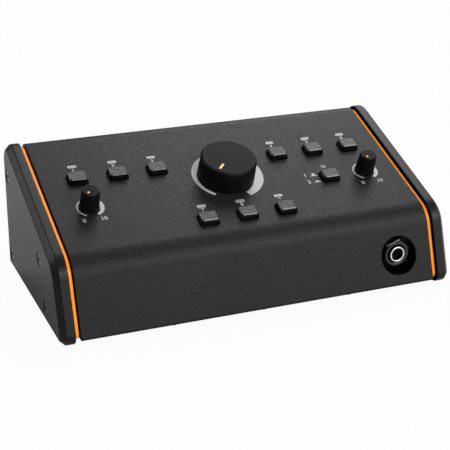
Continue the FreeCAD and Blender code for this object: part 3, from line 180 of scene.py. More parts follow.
def edit(mode="EDGE", action="DESELECT"):
    """Opens the active piece for editing, with nothing or everything selected."""
    bpy.ops.object.mode_set(mode="EDIT")
    bpy.ops.mesh.select_mode(type=mode)
    bpy.ops.mesh.select_all(action=action)


def close():
    bpy.ops.object.mode_set(mode="OBJECT")


# Points nearer than this many metres are one. Faces that lean less than these angles
# from one another are one flat face, one rounded face, or meet in no sharp edge.
MERGED = 0.000001
FLAT = math.radians(0.5)
ROUNDED = math.radians(40.0)
SHARP = math.radians(25.0)


def copy_node(node):
    """A merged copy of a CAD node, with its flat faces whole again."""
    select(frame["nodes"][node])
    bpy.ops.object.duplicate()
    piece = bpy.context.object
    bpy.ops.object.parent_clear(type="CLEAR_KEEP_TRANSFORM")
    bpy.ops.mesh.customdata_custom_splitnormals_clear()
    edit(action="SELECT")
    bpy.ops.mesh.remove_doubles(threshold=MERGED)
    bpy.ops.mesh.dissolve_limited(angle_limit=FLAT)
    close()
    return piece


def round_edges(piece, width, wanted=None, segments=3):
    """Rounds a piece's sharp edges by a width in mm, or those whose middle, in mm, is wanted."""
    select(piece)
    edit()
    bpy.ops.mesh.edges_select_sharp(sharpness=SHARP)
    close()
    if wanted is not None:
        points = piece.data.vertices
        for edge in piece.data.edges:
            if edge.select:
                first, second = edge.vertices
                edge.select = wanted((points[first].co + points[second].co) * 500.0)
    bpy.ops.object.mode_set(mode="EDIT")
    offset = width / 1000.0
    bpy.ops.mesh.bevel(offset=offset, segments=segments, affect="EDGES", clamp_overlap=False)
    bpy.ops.mesh.select_all(action="SELECT")
    bpy.ops.mesh.remove_doubles(threshold=MERGED / 10.0)
    close()


def smooth(piece):
    """Shades a piece smooth over its rounded edges and keeps its flat faces flat."""
    select(piece)
    bpy.ops.object.shade_smooth_by_angle(angle=ROUNDED)
    bpy.ops.object.modifier_add(type="WEIGHTED_NORMAL")
    piece.modifiers[-1].keep_sharp = True
    bpy.ops.object.modifier_apply(modifier=piece.modifiers[-1].name)


def finish_piece(piece, name, finish, body, slot, *replaced):
    """Names a new piece, gives it its finish, lets it ride on its body and stand for CAD nodes."""
    smooth(piece)
    piece.name = piece.data.name = name
    piece.data.materials.clear()
    piece.data.materials.append(finish.material)
    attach(piece, body)
    if replaced:
        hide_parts(*replaced)
    return piece


powder = Finish("powder_coat")
lumps = powder.noise(0.0007, 2.0)
specks = powder.noise(0.0005, 1.0)
clouds = powder.noise(0.03, 2.0)
grains = powder.ramp(lumps * 0.6 + specks * 0.4, (0.38, 0.0), (0.62, 1.0))
speckle = grains * 0.8 + clouds * 0.2
powder.set("Base Color", powder.colours(speckle, grey(0.007, 0.02), grey(0.023, 0.02)))
powder.set("Roughness", grains * 0.32 + 0.27)
powder.set("Specular IOR Level", 0.14)
powder.relief(lumps + specks * 0.6, 0.00013, 0.9)
paint(powder, "left_end_plate", "right_end_plate")
for sheet in ("top_cover", "base_plate", "rear_panel"):
    metal_sheet = copy_node(sheet)
    round_edges(metal_sheet, 0.3, segments=2)
    finish_piece(metal_sheet, "coated_" + sheet, powder, "case", "case_paint", sheet)

# ---------------------------------------------------------------------------
# Fasteners, level controls and shafts: turned and pressed steel, zinc plated
# bright inside and black outside, with brass spacers and aluminium shafts. They
# are screwed or pressed into the cover, the boards and the cheeks.
# ---------------------------------------------------------------------------


def metal(name, dark, light, roughness):
    """A plated metal with fine turning marks and a cloudy sheen."""
    finish = Finish(name, Metallic=1.0)
    scratches = finish.noise(0.0002, 2.0, (1.0, 1.0, 0.12))
    finish.set("Base Color", finish.colours(finish.noise(0.004), dark, light))
    finish.set("Roughness", scratches * 0.2 + (roughness - 0.1))
    finish.relief(scratches, 0.000004, 0.5)
    return finish


bright_steel = metal("bright_steel", grey(0.48), grey(0.6), 0.3)
paint(bright_steel, "cheek_nuts", "case_nuts", "panel_studs", "board_screws")
paint(bright_steel, "volume_nut", "line_socket_nuts", "volume_pot", "aux_pot", "phones_pot")
black_steel = metal("black_steel", grey(0.08), grey(0.10), 0.2)
paint(black_steel, "case_screws")

# The cheek screws' axes, in mm to the back and above the floor. Their heads are a
# little smaller than their countersinks and sit deep in them.
SCREW_AXES = ((44.2, 55.4), (44.2, 11.7), (-18.2, 33.6), (-26.8, 11.7))
HEAD_SHARE = 0.88
HEAD_DEPTH_SHARE = 0.9965
screw_heads = copy_node("cheek_screws")
for along, height in SCREW_AXES:
    edit("VERT")
    close()
    for point in screw_heads.data.vertices:
        aside = math.hypot(point.co.y * 1000.0 - along, point.co.z * 1000.0 - height)
        point.select = aside < 5.0 and abs(point.co.x) > 0.1035
    bpy.ops.object.mode_set(mode="EDIT")
    axis = (0.0, along / 1000.0, height / 1000.0)
    bpy.ops.transform.resize(value=(HEAD_DEPTH_SHARE, HEAD_SHARE, HEAD_SHARE), center_override=axis)
    close()
round_edges(screw_heads, 0.28, lambda middle: abs(middle.x) > 103.8)
finish_piece(screw_heads, "cheek_screw_heads", black_steel, "case", "black_steel", "cheek_screws")

brass = metal("spacer_brass", (0.52, 0.37, 0.14, 1.0), (0.68, 0.50, 0.22, 1.0), 0.3)
paint(brass, "board_spacers")
aluminium = metal("turned_aluminium", grey(0.496, 0.01), grey(0.62, 0.01), 0.28)
paint(aluminium, "volume_shaft", "aux_shaft", "phones_shaft")

# ---------------------------------------------------------------------------
# Feet: four round moulded rubber feet, matt black, screwed up into the base
# plate through their recess.
# ---------------------------------------------------------------------------

rubber = Finish("foot_rubber")
dust = rubber.noise(0.0025, 4.0)
rubber.set("Base Color", rubber.colours(dust, grey(0.013), grey(0.024)))
rubber.set("Roughness", rubber.ramp(dust, (0.3, 0.72), (0.7, 0.88)))
rubber.relief(rubber.noise(0.0006, 3.0), 0.00003, 0.5)
paint(rubber, "rubber_feet")

# ---------------------------------------------------------------------------
# Circuit boards with their parts: glass-fibre boards under green solder mask,
# moulded chips, headers, switches and sockets soldered on, sleeved capacitors,
# and the grey ribbon cable between the boards.
# ---------------------------------------------------------------------------


def plastic(name, dark, light, roughness, size=0.0005, depth=0.00001):
    """A moulded plastic: slight clouds in its colour and sheen, and the mould's fine texture."""
    finish = Finish(name)
    clouds = finish.noise(0.012, 3.0)
    texture = finish.noise(size, 2.0)
    finish.set("Base Color", finish.colours(clouds, dark, light))
    finish.set("Roughness", clouds * 0.08 + texture * 0.08 + (roughness - 0.08))
    finish.relief(texture, depth, 0.5)
    return finish


mask = plastic("board_mask", (0.012, 0.09, 0.03, 1.0), (0.02, 0.13, 0.05, 1.0), 0.32, 0.0012)
paint(mask, "control_board", "main_board")
moulded = plastic("moulded_black", grey(0.010), grey(0.016), 0.42)
paint(moulded, "switch_bodies", "ribbon_headers", "amplifier_chips", "headphone_socket")
paint(moulded, "line_sockets", "media_socket", "power_inlet", "power_switch")
sleeve = plastic("capacitor_sleeve", (0.012, 0.014, 0.05, 1.0), (0.018, 0.022, 0.07, 1.0), 0.25)
paint(sleeve, "capacitors")
diode = plastic("diode_resin", (0.55, 0.52, 0.34, 1.0), (0.66, 0.62, 0.42, 1.0), 0.2)
paint(diode, "indicator_diodes")
ribbon = Finish("ribbon_grey", Roughness=0.45)
bands = {"wave_type": "BANDS", "bands_direction": "X"}
stripes = ribbon.add("ShaderNodeTexWave", bands, {"Vector": ribbon.place, "Scale": 250.0})
ribbon.set("Base Color", ribbon.colours(stripes, grey(0.16), grey(0.30)))
ribbon.relief(stripes, 0.0002, 0.8)
paint(ribbon, "ribbon_cable")

# ---------------------------------------------------------------------------
# Headphone socket: the chromed bush of a jack, set back in the round hole in
# the front and held to its bracket by a black hexagon nut with a turned collar.
# ---------------------------------------------------------------------------


def turned(stations, vertices=96):
    """A turned piece: rings of radius and height in mm, each extruded from the last."""
    radius, height = stations[0]
    bpy.ops.object.select_all(action="DESELECT")
    bpy.ops.mesh.primitive_circle_add(
        vertices=vertices, radius=radius / 1000.0, fill_type="NOTHING"
    )
    piece = bpy.context.object
    bpy.ops.object.mode_set(mode="EDIT")
    bpy.ops.transform.translate(value=(0.0, 0.0, height / 1000.0))
    is_ring = stations[0] == stations[-1]
    if not is_ring:
        bpy.ops.mesh.edge_face_add()
        bpy.ops.mesh.select_mode(type="EDGE")
    for next_radius, next_height in stations[1:]:
        rise = (0.0, 0.0, (next_height - height) / 1000.0)
        bpy.ops.mesh.extrude_edges_move(TRANSFORM_OT_translate={"value": rise})
        ratio, middle = next_radius / radius, (0.0, 0.0, next_height / 1000.0)
        bpy.ops.transform.resize(value=(ratio, ratio, 1.0), center_override=middle)
        radius, height = next_radius, next_height
    if not is_ring:
        bpy.ops.mesh.edge_face_add()
    bpy.ops.mesh.select_all(action="SELECT")
    bpy.ops.mesh.remove_doubles(threshold=MERGED)
    bpy.ops.mesh.normals_make_consistent(inside=False)
    close()
    return piece


def settle(piece, matrix):
    """Puts a piece's place into its mesh and leaves its object at the origin."""
    select(piece)
    piece.matrix_world = matrix
    bpy.ops.object.transform_apply(location=True, rotation=True, scale=True)


JACK_ACROSS = 0.0763
JACK_HEIGHT = 0.0201


def on_jack(depth):
    """Where something turned stands on the jack's axis, facing the front from depth metres."""
    spot = Matrix.Translation((JACK_ACROSS, depth, JACK_HEIGHT))
    return spot @ Matrix.Rotation(math.radians(90.0), 4, "X")


chrome = metal("chrome_ring", grey(0.8, 0.01), grey(1.0, 0.01), 0.12)
bush = turned([(3.3, 0.0), (3.3, 4.8), (4.2, 4.8), (4.2, 0.0), (3.3, 0.0)])
round_edges(bush, 0.32, segments=4)
settle(bush, on_jack(-0.0439))
finish_piece(bush, "chromed_bush", chrome, "case", "chrome_ring", "headphone_bush")

# The bracket behind the hole and the nut's body are black steel, darkened to near black: painted
# shade in the hole.
painted_shade_steel = metal("painted_shade_steel", grey(0.0064), grey(0.008), 0.4)
paint(painted_shade_steel, "socket_bracket")
NUT_SHARE = 1.11
nut = copy_node("headphone_nut")
edit("VERT", "SELECT")
middle = on_jack(-0.0464).translation
bpy.ops.transform.resize(value=(NUT_SHARE, 1.0, NUT_SHARE), center_override=middle)
close()
round_edges(nut, 0.3, lambda middle: middle.y < -47.3, segments=1)
round_edges(nut, 0.08, lambda middle: middle.y < -46.9, segments=2)
finish_piece(nut, "socket_nut", painted_shade_steel, "case", "black_steel", "headphone_nut")

# One chamfer of the nut, up on the left, gets a bright metal: a painted glint.
nut_glint_chamfer = metal("nut_glint_chamfer", grey(0.288), grey(0.36), 0.3)
nut.data.materials.append(nut_glint_chamfer.material)
for face in nut.data.polygons:
    if -0.95 < face.normal.y < -0.3 and face.normal.z > 0.3 > face.normal.x:
        face.material_index = 1

nut_steel = metal("nut_steel", grey(0.048), grey(0.06), 0.26)
collar = turned([(5.0, 0.0), (5.0, 0.3), (5.7, 0.6), (6.75, 0.6), (6.75, 0.0), (5.0, 0.0)])
round_edges(collar, 0.25, segments=4)
settle(collar, on_jack(-0.0474))
finish_piece(collar, "nut_collar", nut_steel, "case", "black_steel")

# ---------------------------------------------------------------------------
# Print: level crescents round the knobs, numbers over the caps and the sockets,
# and signs for a raised and a pressed cap. Light grey ink, screen printed on the
# powder coat in a layer of a few hundredths of a millimetre.
# ---------------------------------------------------------------------------

# The panel's slope, the middle of its upper edge, and its directions. Down the slope
# is measured from that edge.
SLOPE = math.radians(20.5)
PANEL_TOP = Vector((0.0, 0.0523, 0.0761072))
UP_SLOPE = Vector((0.0, math.cos(SLOPE), math.sin(SLOPE)))
OUTWARD = Vector((0.0, -math.sin(SLOPE), math.cos(SLOPE)))


def panel_matrix(across, down, out=0.0):
    """Where something lies on the panel, in mm across, down the slope and out of its surface."""
    spot = PANEL_TOP - UP_SLOPE * (down / 1000.0) + OUTWARD * (out / 1000.0)
    spot.x = across / 1000.0
    return Matrix.Translation(spot) @ Matrix.Rotation(SLOPE, 4, "X")


ink = Finish("panel_ink")
ink.set("Base Color", ink.colours(ink.noise(0.0006, 3.0), grey(0.41), grey(0.49)))
ink.relief(ink.noise(0.0007), 0.00003, 0.5)

# The ink's thickness and spread in metres, and how far out of the panel's surface the
# foot and the middle of its layer lie, in mm.
INK_LAYER = 0.00004
INK_SPREAD = 0.00008
INK_FOOT = -0.01
INK_MIDDLE = 0.01


def print_crescent(name, across, down, inner, outer, shift, start, end):
    """A crescent between two circles in mm, the outer one shifted, over a span in degrees."""
    bpy.ops.object.select_all(action="DESELECT")
    bpy.ops.curve.primitive_bezier_circle_add(radius=inner / 1000.0)
    small = bpy.context.object
    bpy.ops.curve.primitive_bezier_circle_add(radius=outer / 1000.0)
    large = bpy.context.object
    large.location = (shift[0] / 1000.0, shift[1] / 1000.0, 0.0)
    for ring in (small, large):
        ring.data.dimensions = "2D"
        ring.data.resolution_u = 48
    select(large, small)
    bpy.ops.object.join()
    large.data.fill_mode = "BOTH"
    bpy.ops.object.convert(target="MESH")
    crescent = bpy.context.object
    bpy.ops.object.transform_apply(location=True, rotation=True, scale=True)
    for angle in (start, end):
        edit("VERT", "SELECT")
        turn = math.radians(angle)
        across_cut = (math.cos(turn), -math.sin(turn), 0.0)
        bpy.ops.mesh.bisect(plane_co=(0.0, 0.0, 0.0), plane_no=across_cut)
        close()
    edit("FACE")
    close()
    for face in crescent.data.polygons:
        turn = math.degrees(math.atan2(-face.center.x, -face.center.y)) % 360.0
        face.select = not start < turn < end
    bpy.ops.object.mode_set(mode="EDIT")
    bpy.ops.mesh.delete(type="FACE")
    bpy.ops.mesh.select_all(action="SELECT")
    bpy.ops.mesh.extrude_region_move(TRANSFORM_OT_translate={"value": (0.0, 0.0, INK_LAYER)})
    bpy.ops.mesh.select_all(action="SELECT")
    bpy.ops.mesh.remove_doubles(threshold=MERGED)
    bpy.ops.mesh.normals_make_consistent(inside=False)
    close()
    settle(crescent, panel_matrix(across, down, INK_FOOT))
    finish_piece(crescent, name, ink, "case", "lens_plastic")


# Each crescent's radii, shift and span, which runs clockwise from straight down.
LARGE_CRESCENT = {"inner": 14.9, "outer": 19.0, "shift": (1.86, 1.52), "start": 39.0, "end": 334.0}
SMALL_CRESCENT = {"inner": 5.6, "outer": 7.0, "shift": (0.75, 0.4), "start": 27.0, "end": 330.0}
print_crescent("volume_crescent", -0.6, 56.2, **LARGE_CRESCENT)
print_crescent("aux_crescent", -76.55, 65.8, **SMALL_CRESCENT)
print_crescent("phones_crescent", 76.25, 65.8, **SMALL_CRESCENT)


def printed_text(words, size, matrix):
    """A printed number or word, its middle at the place given, as a thin flat mesh."""
    bpy.ops.object.select_all(action="DESELECT")
    bpy.ops.object.text_add()
    text = bpy.context.object
    text.data.body = words
    text.data.size = size / 1000.0
    text.data.extrude = INK_LAYER / 2.0
    text.data.offset = INK_SPREAD
    text.data.align_x, text.data.align_y = "CENTER", "CENTER"
    bpy.ops.object.convert(target="MESH")
    piece = bpy.context.object
    edit("VERT", "SELECT")
    bpy.ops.mesh.remove_doubles(threshold=MERGED / 10.0)
    close()
    settle(piece, matrix)
    return piece


def panel_text(words, size, across, down):
    """A number printed on the panel, in mm."""
    return printed_text(words, size, panel_matrix(across, down, INK_MIDDLE))


def panel_bar(across, down, width, height):
    """A bar printed on the panel, in mm."""
    bpy.ops.object.select_all(action="DESELECT")
    bpy.ops.mesh.primitive_cube_add(size=1.0)
    bar = bpy.context.object
    edit("VERT", "SELECT")
    bpy.ops.transform.resize(value=(width / 1000.0, height / 1000.0, INK_LAYER))
    close()
    settle(bar, panel_matrix(across, down, INK_MIDDLE))
    return bar


def printed_group(name, marks):
    """Joins printed marks into one piece on the case."""
    select(*marks)
    bpy.ops.object.join()
    finish_piece(bpy.context.object, name, ink, "case", "lens_plastic")


# Where the caps' middles stand on the panel, in mm across and down the slope, and
# where the two small knobs stand across.
UPPER_CAPS = [(across, 43.8) for across in (-76.45, -55.25, -34.05, 34.05, 55.25, 76.45)]
LOWER_CAPS = [(across, 86.3) for across in (-21.2, 0.0, 21.2)]
SELECT_CAP = (55.2, 66.5)
LEVEL_KNOBS = {"aux": -76.4, "phones": 76.4}

# In mm: how far above a cap its number is printed, how far to each side of a small knob
# and how far down its two ends are numbered, where the signs' numbers stand across, and
# the numbers' sizes.
ABOVE_ROWS = 7.8
ABOVE_SELECT = 8.5
ENDS_ASIDE = 5.0
ENDS_DOWN = 74.8
SIGNS_ACROSS = 42.4
CAP_SIZE = 2.9
KNOB_SIZE = 3.4
REAR_SIZE = 4.0

places = [(across, down - ABOVE_ROWS) for across, down in UPPER_CAPS + LOWER_CAPS]
places.append((SELECT_CAP[0], SELECT_CAP[1] - ABOVE_SELECT))
numbers = [panel_text(str(count), CAP_SIZE, *place) for count, place in enumerate(places, start=1)]
for across in LEVEL_KNOBS.values():
    numbers.append(panel_text("0", KNOB_SIZE, across - ENDS_ASIDE, ENDS_DOWN))
    numbers.append(panel_text("10", KNOB_SIZE, across + ENDS_ASIDE, ENDS_DOWN))
numbers.append(panel_text("1", KNOB_SIZE, SIGNS_ACROSS, 63.2))
numbers.append(panel_text("2", KNOB_SIZE, SIGNS_ACROSS, 68.6))
printed_group("panel_numbers", numbers)
printed_group("raised_sign", [panel_bar(47.0, 64.2, 3.9, 0.5), panel_bar(47.0, 63.2, 1.7, 1.6)])
printed_group("pressed_sign", [panel_bar(47.1, 69.3, 3.9, 0.5), panel_bar(47.1, 68.7, 1.7, 0.8)])

# In metres: the rear panel's face, the height of its print, and from socket to socket.
REAR_FACE = 0.0508
REAR_HEIGHT = 0.031
SOCKET_PITCH = 0.017


def rear_text(words, size, across):
    """A number or word printed over the sockets on the back, across metres from the middle."""
    spot = Matrix.Translation((across, REAR_FACE + INK_MIDDLE / 1000.0, REAR_HEIGHT))
    facing_back = Matrix.Rotation(math.pi, 4, "Z") @ Matrix.Rotation(math.radians(90.0), 4, "X")
    return printed_text(words, size, spot @ facing_back)


rear_numbers = []
for count in range(8):
    rear_numbers.append(rear_text(str(count + 1), REAR_SIZE, 0.040 - SOCKET_PITCH * count))
rear_numbers.append(rear_text("9", REAR_SIZE, 0.055))
rear_numbers.append(rear_text("ON / OFF", 2.6, 0.080))
printed_group("rear_numbers", rear_numbers)

# ---------------------------------------------------------------------------
# Indicators: light pipes moulded in pale frosted plastic, pushed up through the
# panel's slots from behind, each over a diode on the control board.
# ---------------------------------------------------------------------------


def block(width, depth, low, high):
    """A block in mm, standing on the panel's plane between two heights."""
    bpy.ops.object.select_all(action="DESELECT")
    bpy.ops.mesh.primitive_cube_add(size=1.0)
    piece = bpy.context.object
    edit("VERT", "SELECT")
    bpy.ops.transform.resize(value=(width / 1000.0, depth / 1000.0, (high - low) / 1000.0))
    bpy.ops.transform.translate(value=(0.0, 0.0, (high + low) / 2000.0))
    close()
    return piece


def select_faces(piece, wanted):
    """Opens a piece for editing with the faces selected whose normal is wanted."""
    select(piece)
    edit("FACE")
    close()
    for face in piece.data.polygons:
        face.select = wanted(face.normal)
    bpy.ops.object.mode_set(mode="EDIT")


def round_corners(piece, radius):
    """Rounds the four upright corners of a block."""
    select(piece)
    edit()
    close()
    for edge in piece.data.edges:
        first, second = (piece.data.vertices[index].co for index in edge.vertices)
        edge.select = (first - second).xy.length < MERGED
    bpy.ops.object.mode_set(mode="EDIT")
    bpy.ops.mesh.bevel(offset=radius / 1000.0, segments=7, affect="EDGES")
    close()


def copy_to(piece, matrix):
    """A copy of a piece with its own mesh, at its place."""
    select(piece)
    bpy.ops.object.duplicate()
    copy = bpy.context.object
    settle(copy, matrix)
    return copy


frosted = plastic("frosted_lens", grey(0.28), grey(0.34), 0.36)

# How far above its cap a lens stands, in mm.
LENS_ABOVE = 10.5
lens = block(width=5.2, depth=2.2, low=-8.28, high=0.25)
round_corners(lens, 1.05)
round_edges(lens, 0.22)
lenses = []
for across, down in UPPER_CAPS + LOWER_CAPS:
    lenses.append(copy_to(lens, panel_matrix(across, down - LENS_ABOVE)))
bpy.data.objects.remove(lens)
select(*lenses)
bpy.ops.object.join()
finish_piece(bpy.context.object, "light_pipes", frosted, "case", "lens_plastic", "indicator_lenses")

# ---------------------------------------------------------------------------
# Caps: ten push-button caps and the power button, moulded in satin dark grey
# plastic and pressed onto their switches' plungers.
# ---------------------------------------------------------------------------

cap_plastic = Finish("cap_plastic")
streaks = cap_plastic.noise(0.0007, 2.0, (0.12, 1.0, 1.0))
flow = streaks * 0.6 + cap_plastic.noise(0.004) * 0.4
cap_plastic.set("Base Color", cap_plastic.colours(flow, grey(0.001), grey(0.003)))
cap_plastic.set("Roughness", streaks * 0.3 + 0.06)
cap_plastic.set("Specular IOR Level", 0.24)
cap_plastic.relief(streaks, 0.00003, 0.5)
paint(cap_plastic, "power_button")
# The edge round each cap's top gets a lighter, glossier finish: a painted highlight.
cap_edge = plastic("cap_edge", grey(0.010), grey(0.014), 0.28)
cap_edge.set("Specular IOR Level", 0.75)


def polish_edge(piece, finish, low, high):
    """Paints a highlight on the edge round a piece's top: faces that lean between two cosines."""
    piece.data.materials.append(finish.material)
    for face in piece.data.polygons:
        if low < face.normal.dot(OUTWARD) < high:
            face.material_index = 1


def extrude(rise, across_share=1.0, along_share=1.0):
    """Extrudes the selected faces by a rise in metres and narrows them by two shares."""
    bpy.ops.mesh.extrude_region_move(TRANSFORM_OT_translate={"value": (0.0, 0.0, rise)})
    bpy.ops.transform.resize(value=(across_share, along_share, 1.0))


# The skirt, the tapered and slightly dished top, and the stem down to the switch.
cap = block(width=10.0, depth=8.0, low=-2.6, high=0.4)
round_corners(cap, 1.1)
select_faces(cap, lambda normal: normal.z > 0.9)
extrude(0.00275, 0.87, 0.83)
close()
round_edges(cap, 0.42, lambda middle: middle.z > 3.0, segments=1)
round_edges(cap, 0.12, lambda middle: middle.z > 2.5, segments=2)
select_faces(cap, lambda normal: normal.z > 0.99)
bpy.ops.mesh.inset(thickness=0.0006, depth=-0.00006)
close()
select_faces(cap, lambda normal: normal.z < -0.9)
extrude(0.0, 0.22, 0.275)
extrude(-0.0043)
close()

GROUPS = ("source", "speaker", "function")
CAP_NODES = [f"{group}_button_{count}" for group in GROUPS for count in (1, 2, 3)]
for node, place in zip(CAP_NODES + ["select_button"], UPPER_CAPS + LOWER_CAPS + [SELECT_CAP]):
    button = copy_to(cap, panel_matrix(*place))
    finish_piece(button, node + "_cap", cap_plastic, node, "cap_plastic", node)
    polish_edge(button, cap_edge, low=0.5, high=0.97)
bpy.data.objects.remove(cap)

# ---------------------------------------------------------------------------
# Knobs: tapered cups moulded in matt black plastic with an inlaid orange mark,
# pushed onto their shafts.
# ---------------------------------------------------------------------------

knob_plastic = plastic("knob_plastic", grey(0.003), grey(0.005), 0.50, 0.0006)
knob_plastic.set("Specular IOR Level", 0.075)
# The edge round each knob's top gets a lighter, glossier finish: a painted highlight.
knob_edge_highlight = plastic("knob_edge_highlight", grey(0.016), grey(0.022), 0.42, 0.0006)
knob_edge_highlight.set("Specular IOR Level", 0.11)

# Both profiles go from the shaft's bore through the hollow to the rim and the top.
VOLUME_BORE = [(3.05, 10.85), (3.05, 4.6), (5.6, 4.6), (5.6, 9.5), (12.95, 9.5)]
VOLUME_WALL = [(13.0, 0.6), (15.0, 0.6), (14.6, 12.7)]
LEVEL_PROFILE = [(3.05, 9.35), (3.05, 0.6), (5.1, 0.6), (4.4, 11.2)]
VOLUME_DOWN = 55.3
LEVEL_DOWN = 65.5

large_knob = turned(VOLUME_BORE + VOLUME_WALL, vertices=160)
round_edges(large_knob, 1.1, lambda middle: middle.z > 12.6, segments=1)
round_edges(large_knob, 0.35, lambda middle: middle.z > 11.4, segments=4)
round_edges(large_knob, 0.7, lambda middle: middle.z < 0.7)
settle(large_knob, panel_matrix(0.0, VOLUME_DOWN))
finish_piece(large_knob, "large_knob", knob_plastic, "volume", "knob_plastic", "volume_knob")
polish_edge(large_knob, knob_edge_highlight, low=0.75, high=0.995)
for name, across in LEVEL_KNOBS.items():
    small_knob = turned(LEVEL_PROFILE)
    round_edges(small_knob, 0.5, lambda middle: middle.z > 11.1, segments=1)
    round_edges(small_knob, 0.18, lambda middle: middle.z > 10.5, segments=3)
    round_edges(small_knob, 0.4, lambda middle: middle.z < 0.7)
    settle(small_knob, panel_matrix(across, LEVEL_DOWN))
    node = name + "_knob"
    finish_piece(small_knob, name + "_level_knob", knob_plastic, name, "knob_plastic", node)
    polish_edge(small_knob, knob_edge_highlight, low=0.75, high=0.995)

inlay = plastic("mark_orange", (0.86, 0.32, 0.06, 1.0), (0.94, 0.40, 0.10, 1.0), 0.35)
# The mark glows orange: painted light that makes it read bright.
painted_glow = inlay.colours(inlay.noise(0.0005), (1.0, 0.48, 0.12, 1.0), (1.0, 0.60, 0.20, 1.0))
inlay.set("Emission Color", painted_glow)
inlay.set("Emission Strength", 0.3)
paint(inlay, "volume_mark")
DOT_SHARE = 0.78
for name in LEVEL_KNOBS:
    dot = copy_node(name + "_mark")
    points = [point.co.copy() for point in dot.data.vertices]
    top = max(point.dot(OUTWARD) for point in points)
    rim = [point for point in points if top - point.dot(OUTWARD) < 0.00001]
    middle = sum(rim, Vector()) / len(rim)
    edit("VERT", "SELECT")
    bpy.ops.transform.resize(value=(DOT_SHARE, DOT_SHARE, DOT_SHARE), center_override=middle)
    close()
    round_edges(dot, 0.08, segments=2)
    finish_piece(dot, name + "_level_dot", inlay, name, "mark_orange", name + "_mark")

# ---------------------------------------------------------------------------
# Orange plates: laser-cut steel, held between each cheek and the case by the
# cheek's screws, with satin orange paint on the edge that shows as a stripe.
# ---------------------------------------------------------------------------

orange = Finish("trim_orange")
mottle = orange.noise(0.002, 3.0)
orange.set("Base Color", orange.colours(mottle, (0.80, 0.20, 0.0, 1.0), (0.94, 0.26, 0.002, 1.0)))
orange.set("Roughness", orange.ramp(mottle, (0.3, 0.16), (0.7, 0.26)))
orange.set("Specular IOR Level", 0.15)
orange.relief(orange.noise(0.0008, 2.0), 0.00001, 0.5)
# The plate's edge that shows as a stripe glows orange: painted light that makes up for the light
# the recess keeps off it.
facing = orange.add("ShaderNodeNewGeometry", output="Normal")
sideways = orange.add("ShaderNodeSeparateXYZ", {}, {"Vector": facing}, output="X")
painted_glow_edge = sideways * sideways < 0.5
orange.set("Emission Color", orange.colours(painted_glow_edge, grey(0.0), (1.0, 0.32, 0.03, 1.0)))
orange.set("Emission Strength", 0.4)

# The cheeks' inner faces are this many metres from the middle. The plates are thinner
# than the room there, and stand a little off the cheek.
CHEEK_INSIDE = 0.0976
PLATE_SHARE = 0.72
PLATE_GAP = 0.0001
for side, sign in (("left", -1.0), ("right", 1.0)):
    plate = copy_node(side + "_trim_plate")
    edit("VERT", "SELECT")
    outside = (sign * CHEEK_INSIDE, 0.0, 0.0)
    bpy.ops.transform.resize(value=(PLATE_SHARE, 1.0, 1.0), center_override=outside)
    bpy.ops.transform.translate(value=(-sign * PLATE_GAP, 0.0, 0.0))
    close()
    round_edges(plate, 0.3)
    finish_piece(plate, side + "_stripe_plate", orange, "case", "trim_orange", side + "_trim_plate")

# ---------------------------------------------------------------------------
# Cheeks: aluminium plates with a wide bevel round their outer face, satin black
# powder coat, each held by four countersunk socket screws.
# ---------------------------------------------------------------------------

cheek_coat = Finish("cheek_coat")
fine = cheek_coat.noise(0.0007, 3.0)
blotches = fine * 0.6 + cheek_coat.noise(0.02) * 0.4
cheek_coat.set("Base Color", cheek_coat.colours(blotches, grey(0.005, 0.02), grey(0.010, 0.02)))
cheek_coat.set("Roughness", cheek_coat.ramp(fine, (0.3, 0.28), (0.7, 0.42)))
cheek_coat.set("Specular IOR Level", 0.175)
cheek_coat.relief(fine, 0.00007, 0.6)

# The cheeks' inner faces, in the grooves beside the orange plates, get a near-black finish with no
# sheen: painted shade.
painted_shade_wall = Finish("painted_shade_wall")
shade_wall_mottle = painted_shade_wall.noise(0.001, 3.0)
painted_shade_wall.set("Base Color", painted_shade_wall.colours(shade_wall_mottle, grey(0.001), grey(0.003)))
painted_shade_wall.set("Roughness", shade_wall_mottle * 0.2 + 0.7)
painted_shade_wall.set("Specular IOR Level", 0.0)


def clear_of_screws(middle):
    """Whether a point in mm lies away from the screws' countersinks."""
    distances = [math.hypot(middle.y - along, middle.z - height) for along, height in SCREW_AXES]
    return min(distances) > 4.5


def on_inside(middle):
    """Whether a point in mm lies on a cheek's inner face, away from its screws."""
    return abs(abs(middle.x) - CHEEK_INSIDE * 1000.0) < 0.01 and clear_of_screws(middle)


for side in ("left", "right"):
    cheek = copy_node(side + "_cheek")
    round_edges(cheek, 0.55, on_inside, segments=4)
    round_edges(cheek, 0.5, clear_of_screws, segments=4)
    finish_piece(cheek, side + "_cheek_plate", cheek_coat, "case", "cheek_paint", side + "_cheek")
    # The inner faces take the painted shade finish.
    cheek.data.materials.append(painted_shade_wall.material)
    for face in cheek.data.polygons:
        if abs(face.normal.x) > 0.98 and abs(face.center.x) < CHEEK_INSIDE + 0.0001:
            face.material_index = 1

# ---------------------------------------------------------------------------
# Studio: a plain pale floor under an even pale room, softboxes above and behind,
# high on the left and at the front, a long strip light over the front, and the
# camera.
# ---------------------------------------------------------------------------


def white_background(owner, output, dull, bright, seen, mirrored):
    """Shows a floor or world white: by one share to the camera, by another in mirrors."""
    owner.use_nodes = True
    owner.node_tree.nodes.clear()
    nodes = Nodes(owner.node_tree)
    straight = nodes.add("ShaderNodeLightPath", output="Is Camera Ray")
    through = nodes.add("ShaderNodeLightPath", output="Is Transmission Ray")
    reflected = nodes.add("ShaderNodeLightPath", output="Is Glossy Ray")
    shown = straight.math("MAXIMUM", straight * seen, through * seen)
    share = shown.math("MAXIMUM", shown, reflected * mirrored)
    surface = {"Fac": share, 1: nodes.add(*dull), 2: nodes.add(*bright)}
    nodes.add(output, {}, {"Surface": nodes.add("ShaderNodeMixShader", {}, surface)})


